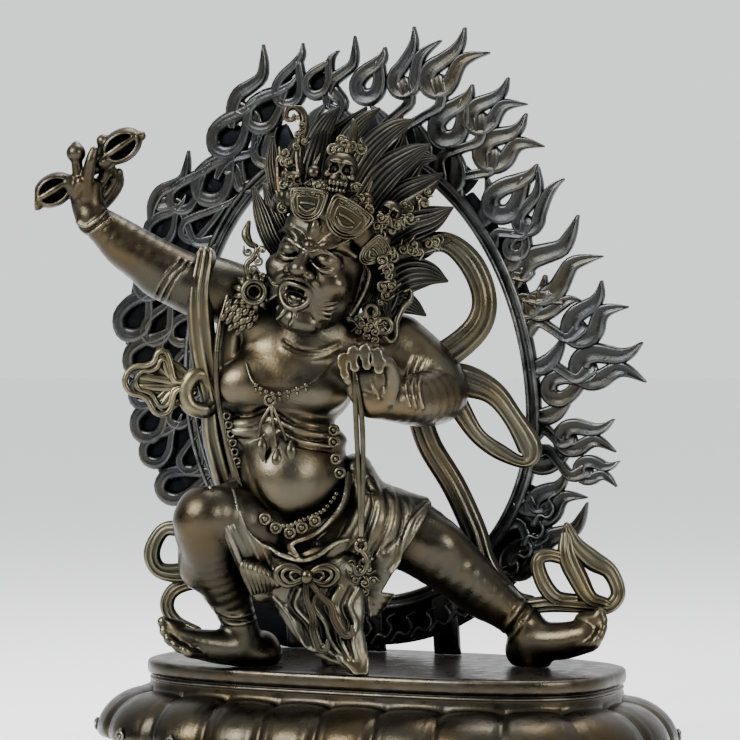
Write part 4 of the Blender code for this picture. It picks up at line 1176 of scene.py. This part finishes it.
def skull(clay, column, row, depth, size, roll):
    """A small skull with sockets, nose, cheeks and two rows of teeth."""
    axes = turned(roll)

    def part(x, y, z, sizes, blend=0.5, carve=False):
        shift = (np.array((x, -y, z)) * size) @ axes
        clay.ball((column, row, depth), np.array(sizes) * size, axes, blend, carve, shift)

    part(0, 0, 0, (0.95, 0.95, 0.95))
    part(0, 0.3, -0.8, (0.66, 0.6, 0.62))
    for side in (-1, 1):
        part(side * 0.38, 0.98, -0.14, (0.3, 0.45, 0.3), 0.2, True)
        part(side * 0.66, 0.5, -0.5, (0.28, 0.36, 0.22))
        part(side * 0.36, 0.85, 0.26, (0.34, 0.2, 0.12), 0.3)
    part(0, 1.0, -0.5, (0.13, 0.3, 0.2), 0.1, True)
    for k in range(-2, 3):
        part(k * 0.22, 0.9, -0.92, (0.11, 0.15, 0.2), 0.1)
        part(k * 0.2, 0.85, -1.3, (0.1, 0.14, 0.17), 0.1)
    part(0, 0.25, -1.42, (0.5, 0.5, 0.22))


CROWN_BAND = (
    (276, 208, -16, 3.5, 2), (284, 198, -26, 4, 2), (308, 203, -33, 5, 2), (346, 222, -34, 5, 2),
    (376, 252, -26, 4.5, 2), (390, 276, -12, 3.5, 2),
)


def crown(material):
    """The crown's band, skulls, spikes and spirals."""
    clay = Clay((240, 96, -52), (462, 292, 22), 0.56)
    clay.strand(CROWN_BAND, 1.0, 4)
    skull(clay, 341, 168, -28, 8.4, 10)
    skull(clay, 390, 212, -20, 6.0, 24)
    skull(clay, 294, 180, -29, 4.6, -2)
    for column, row, depth, size in ((314, 173, -29, 3.6), (366, 200, -28, 3.6), (384, 240, -24, 3.4)):
        clay.ball((column, row, depth), (size, size, size), 0, 0.6)
        clay.tube(((column, row - 5, depth, 1.6), (column + 3, row - 12, depth, 1.2),
                   (column + 6, row - 18, depth, 0.6)), 0.6)
    clay.tube(((347, 152, -26, 3.8), (351, 140, -25, 3.0), (354, 128, -23, 2.0), (353, 120, -22, 0.9)), 0.6)
    clay.tube(((300, 176, -22, 2.6), (298, 158, -20, 2.4), (300, 142, -19, 2.3), (304, 128, -18, 2.2),
               (303, 114, -17, 2.1), (295, 106, -17, 1.9), (287, 109, -18, 1.7), (286, 118, -18, 1.4),
               (292, 120, -19, 1.2), (294, 115, -20, 0.9)), 0.6)
    for rows in (((378, 256, -18, 4, 3.4), (404, 250, -12, 4, 3), (430, 245, -4, 3, 2.6),
                  (450, 240, 0, 1.1, 1.1)), ((396, 214, -14, 4, 3.2), (412, 203, -9, 3.8, 3),
                                             (426, 193, -4, 3, 2.4), (437, 182, 0, 1.1, 1.1)),
                 ((286, 208, -20, 3.4, 3), (281, 190, -17, 2.8, 2.6), (279, 170, -15, 2.2, 2.2),
                  (280, 156, -14, 1.0, 1.0))):
        clay.strand(rows, 0.8)
    cast("crown_cast", clay, material)


# Scrolls that crowd the crown: a line in the picture, how many, how far they stray in columns, and size
SCROLL_LINES = (
    (((282, 204, -25), (288, 180, -24), (284, 152, -20)), 13, 5, 2.4),
    (((302, 190, -31), (318, 182, -31), (328, 190, -31)), 6, 4, 2.4),
    (((352, 194, -31), (372, 212, -30), (384, 232, -27)), 12, 6, 2.6),
    (((392, 228, -24), (408, 212, -15), (430, 194, -8)), 12, 6, 2.5),
    (((384, 256, -24), (414, 250, -14), (444, 244, -6)), 16, 6, 2.5),
    (((384, 262, -22), (388, 282, -18), (384, 300, -18)), 9, 5, 2.3),
    (((334, 152, -29), (346, 142, -28), (360, 150, -28)), 6, 4, 2.6),
    (((300, 150, -24), (302, 132, -22), (300, 116, -21)), 6, 4, 1.6),
)


SCROLL_SEED = 7


def scroll(skins, centre, radius, start, turn, thick):
    """A spiral curl with a bead in its eye."""
    place = seen(centre)[0]
    rows = []
    for k in range(9):
        a = start + turn * 0.9 * k
        reach = radius * (1 - 0.085 * k)
        rows.append((place[0] + reach * math.cos(a), place[1] - 0.12 * k, place[2] + reach * math.sin(a),
                     thick, thick))
    tail = np.array(rows[0][:3]) + (np.array(rows[0][:3]) - np.array(rows[1][:3])) * 0.9
    skins.strand([(*tail, thick * 0.6, thick * 0.6)] + rows, FINE_ROUND, 2)
    skins.bead((place[0], place[1] - 0.8, place[2]), (radius * 0.34,) * 3)


def crown_scrolls(skins):
    """Small scrolls that stray about their lines."""
    chance = np.random.default_rng(SCROLL_SEED)
    for rows, count, stray, size in SCROLL_LINES:
        line = smooth(rows, 12)
        for k in range(count):
            column, row, depth = line[int(k * (len(line) - 1) / max(count - 1, 1))]
            column, row = (column, row) + chance.uniform(-stray, stray, 2)
            radius = size * chance.uniform(0.75, 1.2)
            place = (column, row, depth + chance.uniform(-2, 2))
            scroll(skins, place, radius, chance.uniform(0, 6.3), (1, -1)[k % 2], radius * 0.36)


# The crown's plates: column, row, depth, half width, half height, roll in degrees, and how far they recede
PLATES = (
    (308, 202, -35, 8.2, 8.2, 8, -0.12), (348, 217, -38, 10.2, 9.4, 33, 0.12),
    (376, 250, -28, 6.2, 8.4, 52, 0.9),
)
PLATE_OUTLINE = (
    (-1, 0.6), (-0.5, 0.7), (0, 0.74), (0.5, 0.7), (1, 0.6), (0.98, 0), (0.8, -0.6), (0.42, -0.95),
    (0, -1.05), (-0.42, -0.95), (-0.8, -0.6), (-0.98, 0), (-1, 0.6), (-0.5, 0.7),
)
SLOT_EDGES = (
    ((-0.4, -0.1, 0.9), (0, -0.06, 1.0), (0.4, -0.1, 0.9)),
    ((-0.42, -0.3, 0.8), (0, -0.52, 0.9), (0.42, -0.3, 0.8)),
)


def crown_plates(skins):
    """The D-shaped plates of the crown's band, each with stepped rims, a key pattern and a sunk slot."""
    for column, row, depth, width, height, roll, recede in PLATES:
        axes = turned(roll)
        side = unit(axes[0] + AWAY * recede)
        up = axes[2]
        front = unit(np.cross(side, up))
        front = front if front[1] < 0 else -front
        centre = seen((column, row, depth))[0]

        def at(a, b, lift):
            return (*(centre + side * a * width + up * b * height + front * lift),)

        for share, thick, lift in ((1.0, 0.55, 0.0), (0.86, 0.38, 0.3), (0.6, 0.42, 0.4)):
            drop = -0.12 if share < 0.8 else 0.0
            rim = [(*at(a * share, b * share + drop, lift), thick, thick) for a, b in PLATE_OUTLINE]
            skins.strand(rim, FINE_ROUND, 3)
        skins.strand([(*at(a, -0.05, -0.3), height * 0.8 * math.sqrt(1 - 0.6 * a * a), 0.8)
                      for a in (-0.9, -0.45, 0, 0.45, 0.9)], ROUND, 3, facing=front)
        for line in SLOT_EDGES:
            skins.strand([(*at(*place), 0.6, 0.5) for place in line], FINE_ROUND, 3)
        for k in range(6):
            a, b = -0.7 + 0.28 * k, 0.52 if k % 2 else 0.4
            corners = ((a, b), (a + 0.16, b), (a + 0.16, b - 0.12), (a + 0.05, b - 0.12))
            skins.strand([(*at(p, q + 0.04, 0.3), 0.32, 0.4) for p, q in corners], FINE_ROUND, 1)


# Hair

LOCKS = (
    ((310, 160, -4, 4), (318, 138, -3, 5.4), (328, 120, -1, 4), (339, 108, 2, 0.9)),
    ((330, 172, -8, 4), (346, 142, -6, 4.6), (362, 122, -3, 4), (379, 109, 0, 0.9)),
    ((346, 190, -8, 5), (368, 152, -6, 6.4), (392, 130, -3, 5), (413, 120, 0, 0.9)),
    ((356, 214, -8, 6), (382, 176, -6, 7.8), (408, 156, -3, 5.4), (430, 145, 0, 0.9)),
    ((376, 224, -4, 5), (402, 196, -3, 6.6), (424, 184, 0, 4.4), (442, 174, 3, 0.9)),
    ((384, 244, -2, 5), (408, 226, -1, 8.2), (432, 218, 2, 6.4), (452, 208, 4, 0.9)),
    ((386, 290, -4, 6), (406, 276, -3, 8.6), (428, 274, 0, 6.2), (447, 281, 3, 0.9)),
    ((384, 300, -2, 5), (398, 300, -1, 6.4), (412, 306, 1, 4.4), (425, 315, 3, 0.9)),
    ((284, 210, -8, 4), (277, 186, -8, 4.2), (273, 162, -5, 3.8), (273, 138, -2, 0.9)),
    ((288, 262, -12, 4), (272, 240, -12, 4.8), (262, 214, -8, 4.2), (254, 188, -3, 0.9)),
    ((294, 250, -10, 4), (282, 226, -9, 4.6), (272, 204, -6, 3.6), (264, 184, -2, 0.9)),
    ((308, 196, -8, 6), (313, 168, -7, 7), (320, 140, -4, 5.4), (326, 116, 0, 0.9)),
    ((298, 206, -10, 5), (294, 180, -9, 6), (297, 152, -6, 4.8), (304, 128, -2, 0.9)),
    ((322, 190, 2, 6), (330, 150, 3, 7), (352, 126, 4, 5), (366, 108, 5, 0.9)),
    ((352, 200, 2, 7), (372, 160, 3, 8), (392, 136, 4, 6), (402, 116, 5, 0.9)),
    ((370, 220, 2, 7), (396, 180, 3, 8), (416, 158, 4, 6), (436, 158, 5, 0.9)),
    ((372, 262, 2, 6), (400, 250, 3, 8), (424, 246, 4, 6), (444, 240, 5, 0.9)),
)


def hair(material):
    """Flame-like locks that spread from behind the crown, and waves that fall behind the ears."""
    skins = Skins()
    for rows in LOCKS:
        skins.draw([(c, r, d, w, max(w * 0.5, 0.9)) for c, r, d, w in rows], LOCK, 7)
    skins.drop((346, 222, 4), (27, 10, 32), 30)
    skins.draw(((380, 262, 0, 8, 8), (386, 290, 0, 9, 8), (376, 320, -2, 6, 6)), LOCK, 5)
    for k in range(3):
        skins.draw(((368 + 7 * k, 268, -12, 2.6, 3), (372 + 8 * k, 288, -12, 3, 3),
                    (366 + 10 * k, 306, -13, 2.4, 3), (370 + 10 * k, 322, -14, 1.0, 1.4)), LOCK, 5)
    joined("hair_cast", skins, material)


# Scarves: flat strands as column, row, depth, half width and half thickness

SCARVES = (
    ((206, 258, -6, 5, 12), (200, 300, -12, 6, 5), (204, 350, -10, 6.5, 4), (214, 400, -4, 6.5, 5),
     (220, 440, 2, 8, 8), (234, 490, 2, 8, 9)),
    ((218, 400, -4, 5, 4), (206, 378, -8, 4, 3.4), (194, 376, -10, 4, 3.4), (186, 390, -10, 4, 3.4),
     (190, 406, -10, 4, 3.2), (206, 410, -8, 4, 3.2), (216, 400, -4, 4, 4)),
    ((192, 384, -8, 4, 3), (176, 374, -9, 5.4, 2.2), (161, 362, -9, 4.2, 2)),
    ((190, 386, -8, 4, 3), (162, 384, -8, 7.5, 2.2), (136, 381, -9, 5, 2)),
    ((192, 390, -8, 4, 3), (174, 395, -9, 5.4, 2.2), (160, 404, -9, 4.2, 2)),
    ((214, 536, -4, 4, 4), (186, 530, -2, 4, 3), (164, 530, 0, 3.5, 2.6), (152, 552, 0, 4, 2.6),
     (160, 570, 0, 4, 2.6), (186, 572, 0, 5, 3), (208, 560, -4, 5, 4)),
    ((224, 585, -4, 4, 4), (196, 582, 2, 3.6, 3), (174, 590, 4, 3.4, 3), (167, 606, 4, 3.4, 3),
     (176, 622, 2, 3.4, 3), (196, 634, -2, 4, 3.4)),
    ((374, 262, -2, 5, 4), (410, 250, 2, 5, 3), (444, 242, 4, 5, 2.6), (470, 262, 4, 6, 2.6),
     (484, 296, 3, 6, 2.6), (478, 326, 3, 6.5, 2.6), (450, 352, 2, 7, 2.6), (420, 366, 2, 8, 5)),
    ((430, 378, 2, 7, 5), (462, 380, 4, 8, 3), (492, 392, 4, 6, 2.8), (512, 416, 4, 5, 2.8),
     (530, 448, 4, 6, 2.8), (524, 462, 4, 3, 2.4), (500, 452, 5, 4, 2.6), (478, 436, 5, 4, 2.6),
     (462, 412, 5, 5, 2.6), (448, 386, 4, 6, 3)),
    ((418, 412, 2, 6, 5), (430, 446, 8, 6, 3.4), (454, 486, 10, 6, 3), (474, 530, 8, 6, 3.4),
     (486, 566, 6, 6, 5), (512, 598, 4, 5, 4), (532, 604, 2, 4, 3.4)),
    ((530, 606, 1, 4, 4), (552, 604, -2, 4, 3.4), (580, 606, -4, 3.4, 3), (606, 607, -5, 3.6, 3),
     (618, 594, -5, 3.6, 3), (610, 572, -4, 4, 3), (592, 560, -3, 5, 3), (576, 545, -2, 4, 3),
     (567, 526, -1, 2, 2)),
    ((566, 534, -1, 3, 2.6), (568, 556, -3, 5, 3), (578, 578, -4, 5, 3), (590, 598, -5, 4, 3),
     (606, 604, -6, 3, 3)),
    ((568, 560, -2, 3, 2.6), (548, 555, -3, 3.4, 2.8), (538, 562, -3, 3.4, 2.8), (543, 582, -3, 4, 3),
     (556, 598, -3, 4, 3), (576, 600, -3, 3, 3)),
)

COIL, LOW_SCARF = 1, 9

# The rim and the inner folds of the cloth end that flies out on the left, with their half widths
LEFT_RIM = (
    (190, 380), (176, 381), (171, 365), (166, 352), (158, 353), (154, 362), (146, 366), (135, 367),
    (127, 374), (125, 383), (130, 392), (140, 395), (148, 400), (155, 412), (165, 414), (171, 408),
    (175, 393), (183, 389), (190, 388),
)
LEFT_MIDDLE = (167, 384)
LEFT_FOLDS = (
    (((186, 383), (172, 377), (165, 362)), 2.2), (((184, 385), (164, 380), (136, 376)), 2.0),
    (((184, 387), (164, 388), (138, 387)), 2.0), (((186, 389), (172, 394), (163, 405)), 2.2),
)


def scarves(material, shaded):
    """The scarves, the cloth end on the left, and the low scarf in the raised arm's darker bronze, which is
    painted shade.
    """
    skins = Skins()
    for number, rows in enumerate(SCARVES):
        if number != LOW_SCARF:
            skins.draw(rows, ROUND if number == COIL else CLOTH, 7)
    for share, size in ((1.0, 1.5), (0.74, 1.2)):
        rim = [tuple(m + (p - m) * share for p, m in zip(place, LEFT_MIDDLE)) for place in LEFT_RIM]
        skins.draw([(*place, -10.5 - share, size, size) for place in rim], ROUND, 3)
    for line, size in LEFT_FOLDS:
        skins.draw([(*p, -10, size, 1.3) for p in line], ROUND, 4)
    joined("scarves_cast", skins, material)
    low = Skins()
    low.draw(SCARVES[LOW_SCARF], CLOTH, 7)
    joined("low_scarf_cast", low, shaded)


# Jewellery and the noose

GOLDEN_ANGLE = 2.399


def heap(count, column, row, spread):
    """Places that fill a round heap evenly: number, angle, column and row."""
    for k in range(count):
        angle, reach = GOLDEN_ANGLE * k, spread * math.sqrt(k)
        yield k, angle, column + reach * math.cos(angle), row + reach * math.sin(angle)


def noose(skins):
    """The noose's two cords, with the ring and hook that they end in."""
    for a, b in ((-1, -0.4), (1, 0.4)):
        skins.draw(((355, 372, -40, 1.4, 1.4), (359 + a * 3, 420, -39, 1.3, 1.3),
                    (361 + a * 2, 480, -37, 1.2, 1.2), (361 + b, 536, -35, 1.2, 1.2)), ROUND, 4)
    skins.loop((361, 546, -35), 2.4, 1.0)
    skins.drop((361, 540, -35), (2.6, 2.6, 1.6))
    skins.draw(((361, 550, -35, 1.3, 1.3), (367, 560, -35, 1.4, 1.4), (364, 572, -35, 1.4, 1.4),
                (357, 574, -35, 1.3, 1.3), (354, 566, -35, 1.0, 1.0)), ROUND, 4)


NECKLACE = ((246, 363, -19), (254, 383, -24), (276, 394, -26), (310, 383, -26), (334, 362, -21))
PENDANTS = (
    (((270, 407), (261, 422), (259, 436)), (262, 450)), (((271, 407), (274, 430), (276, 446)), (277, 463)),
    (((273, 407), (282, 428), (286, 440)), (291, 454)),
)
BELLY_CHAIN = (
    (253, 502, -23), (264, 515, -27), (275, 523, -29), (288, 526, -30), (300, 521, -30), (313, 516, -29),
    (324, 510, -27), (334, 498, -23), (340, 486, -19),
)


def necklace(skins):
    """A fine chain with drops, and a brooch with three leaf pendants."""
    line = smooth(NECKLACE, 8)
    skins.draw([(*p, 0.65, 0.65) for p in line], FINE_ROUND, 1)
    for k in range(1, 16, 2):
        place = line[8 + k]
        skins.drop((place[0], place[1], place[2] - 1), (1.3, 1.0, 1.3))
        skins.drop((place[0], place[1] + 5, place[2] - 1), (0.8, 0.8, 1.3))
    skins.loop((270, 400, -27), 2.4, 0.8)
    skins.drop((270, 400, -27), (1.6, 1.4, 1.6))
    for points, bud in PENDANTS:
        skins.draw([(*p, -27 + k * 0.4, 0.8, 0.8) for k, p in enumerate(points)], FINE_ROUND)
        skins.draw(((bud[0], bud[1] - 13, -27.5, 0.9, 0.9), (bud[0], bud[1] - 3, -28.5, 2.6, 1.6),
                    (bud[0] + 1, bud[1] + 11, -28.5, 0.5, 0.5)), ROUND, 6)


def chains(skins):
    """The beaded chain on the belly with its rosettes, and the two chains at the trunk's sides."""
    beads = smooth(BELLY_CHAIN, 6)
    for k in range(0, 46, 2):
        skins.drop(beads[k], (1.25, 1.0, 1.25))
    for column, row in ((265, 519), (276, 528), (290, 533), (302, 528), (315, 521)):
        skins.loop((column, row, -30), 2.3, 0.8)
        skins.drop((column, row, -30), (1.5, 1.0, 1.5))
    for column, row in ((334, 430), (334, 442), (336, 459), (340, 473)):
        skins.loop((column, row, -24), 2.1, 0.75)
        skins.drop((column, row, -24), (1.3, 1.1, 1.3))
    for row in range(416, 500, 9):
        skins.loop((227 + (row - 416) * 0.22, row, -16), 1.5, 0.6)
    skins.draw(((228, 296, -13, 1.4, 1.4), (219, 330, -15, 1.4, 1.4), (216, 370, -16, 1.4, 1.4),
                (220, 410, -15, 1.4, 1.4), (231, 455, -15, 1.4, 1.4), (246, 502, -19, 1.4, 1.4)), ROUND, 5)


def right_ear(skins):
    """The right ear's ornament: a plume with curls, a sunflower and a leaf of beads."""
    skins.draw(((256, 284, -18, 1.8, 1.8), (248, 274, -18, 1.6, 1.6), (247, 264, -18, 1.5, 1.5),
                (254, 257, -18, 1.5, 1.5), (257, 248, -17, 1.4, 1.4), (250, 243, -16, 1.8, 1.8),
                (246, 234, -15, 2.3, 2.2), (249, 222, -14, 1.0, 1.2)), ROUND, 5)
    for k, (column, row) in enumerate(((253, 270), (258, 262), (248, 252), (262, 250), (243, 282),
                                       (263, 276))):
        scroll(skins, (column, row, -19), 2.2, 1.3 * k, (1, -1)[k % 2], 0.6)
    skins.loop((254, 292, -23), 5.2, 1.3, around=20)
    skins.loop((254, 292, -21), 3.4, 1.1, around=16)
    for k in range(13):
        a = 2 * math.pi * k / 13
        c, q = math.cos(a), math.sin(a)
        skins.draw(((254 + 11 * c, 292 + 11 * q, -21, 0.7, 0.8),
                    (254 + 15 * c, 292 + 15 * q, -20, 1.7, 1.3),
                    (254 + 21 * c, 292 + 21 * q, -18, 0.5, 0.6)), ROUND, 3)
    for k, _, column, row in heap(22, 239, 316, 3.6):
        skins.drop((column, row, -18 - 0.1 * (22 - k)), (2.5, 1.2, 1.5), -50)


def left_ear(skins):
    """The left ear's ornament: a heap of curls with a plume."""
    for k, angle, column, row in heap(14, 370, 326, 4.4):
        scroll(skins, (column, row, -19 + 0.2 * k), 2.0, angle, (1, -1)[k % 2], 0.6)
    skins.draw(((384, 336, -16, 1.2, 1.2), (390, 342, -15, 1.3, 1.3), (396, 336, -13, 1.4, 1.4),
                (396, 322, -12, 1.7, 1.5), (402, 308, -10, 2.0, 1.6), (410, 299, -9, 1.6, 1.5),
                (410, 290, -9, 1.2, 1.2), (404, 291, -10, 0.9, 0.9)), ROUND, 5)
    for column, row, radius in ((384, 326, 3.6), (371, 311, 2.8)):
        skins.loop((column, row, -18), radius, 1.2, around=18)


def hook_curls(skins):
    """The heap of curls round the noose's hook."""
    for k, angle, column, row in heap(12, 359, 576, 5.2):
        scroll(skins, (column, row, -29 + 0.2 * k), 2.1, angle, (1, -1)[k % 2], 0.62)


def jewellery(material):
    """All that is fine and lies on the figure, in one piece."""
    skins = Skins()
    for add in (bow, shell_cloth, crown_plates, crown_scrolls, noose, necklace, chains, right_ear, left_ear,
                hook_curls):
        add(skins)
    joined("jewellery_cast", skins, material)


# Camera, floor and light

FLOOR_HALF, FLOOR_GREY, FLOOR_ROUGHNESS = 60.0, 0.95, 0.7
SKY_COLOUR = (0.97, 0.98, 1.0, 1)
AIM = Vector((0, -0.02, 0.17))

# Lights: name, place in metres, power and size
LIGHTS = (
    ("key", (-0.45, -0.95, 0.75), 36, 0.6),
    ("side", (0.9, -0.5, 0.5), 10, 0.35),
    ("top", (0.0, 0.2, 1.1), 12, 0.5),
)


def floor():
    material = bpy.data.materials.new("pale_floor")
    material.use_nodes = True
    shader = material.node_tree.nodes["Principled BSDF"]
    shader.inputs["Base Color"].default_value = (FLOOR_GREY, FLOOR_GREY, FLOOR_GREY, 1)
    shader.inputs["Roughness"].default_value = FLOOR_ROUGHNESS
    mesh = bpy.data.meshes.new("floor")
    corners = [(x * FLOOR_HALF, y * FLOOR_HALF, 0) for x, y in ((-1, -1), (1, -1), (1, 1), (-1, 1))]
    mesh.from_pydata(corners, [], [(0, 1, 2, 3)])
    mesh.materials.append(material)
    placed("floor", mesh)


def sky():
    """A pale studio, brighter behind the statue and above it."""
    world = bpy.data.worlds.new("studio")
    world.use_nodes = True
    tree = world.node_tree
    nodes, links = tree.nodes, tree.links
    parts = nodes.new("ShaderNodeSeparateXYZ")
    links.new(nodes.new("ShaderNodeTexCoord").outputs["Generated"], parts.inputs[0])
    depth = ranged(tree, parts.outputs["Y"], -0.4, 0.6, 0.14, 1.25)
    height = ranged(tree, parts.outputs["Z"], 0.45, 1.0, 0.0, 1.3)
    links.new(combined(tree, "ADD", depth, height), nodes["Background"].inputs["Strength"])
    nodes["Background"].inputs["Color"].default_value = SKY_COLOUR
    bpy.context.scene.world = world


def facing(thing, place, target):
    """Puts a light or the camera at a place and turns it to a target."""
    thing.location = place
    thing.rotation_euler = (target - thing.location).to_track_quat("-Z", "Y").to_euler()


def area_light(name, place, power, size):
    light = bpy.data.lights.new(name, "AREA")
    light.energy = power
    light.size = size
    facing(placed(name, light), place, AIM)


def camera():
    view = bpy.data.cameras.new("viewer")
    view.sensor_width = SENSOR_WIDTH
    view.lens = SENSOR_WIDTH * EYE_DISTANCE / (GRID * PICTURE_WIDTH)
    view.clip_start = 0.05
    thing = placed("viewer", view)
    facing(thing, Vector(EYE) / 1000, Vector((*SIGHT, EYE_HEIGHT)) / 1000)
    bpy.context.scene.camera = thing


def main():
    camera()
    floor()
    sky()
    for light in LIGHTS:
        area_light(*light)
    finish = {name: bronze(name) for name in PATINAS}
    lotus_base(finish["lotus"])
    flame_aureole(finish["aureole"], finish["recess_shade"])
    trunk(finish["body"])
    raised_arm(finish["arm"])
    legs(finish["figure"])
    skirt(finish["cloth"])
    head(finish["head"])
    crown(finish["jewel"])
    hair(finish["hair"])
    scarves(finish["scarf"], finish["arm"])
    jewellery(finish["jewel"])


main()
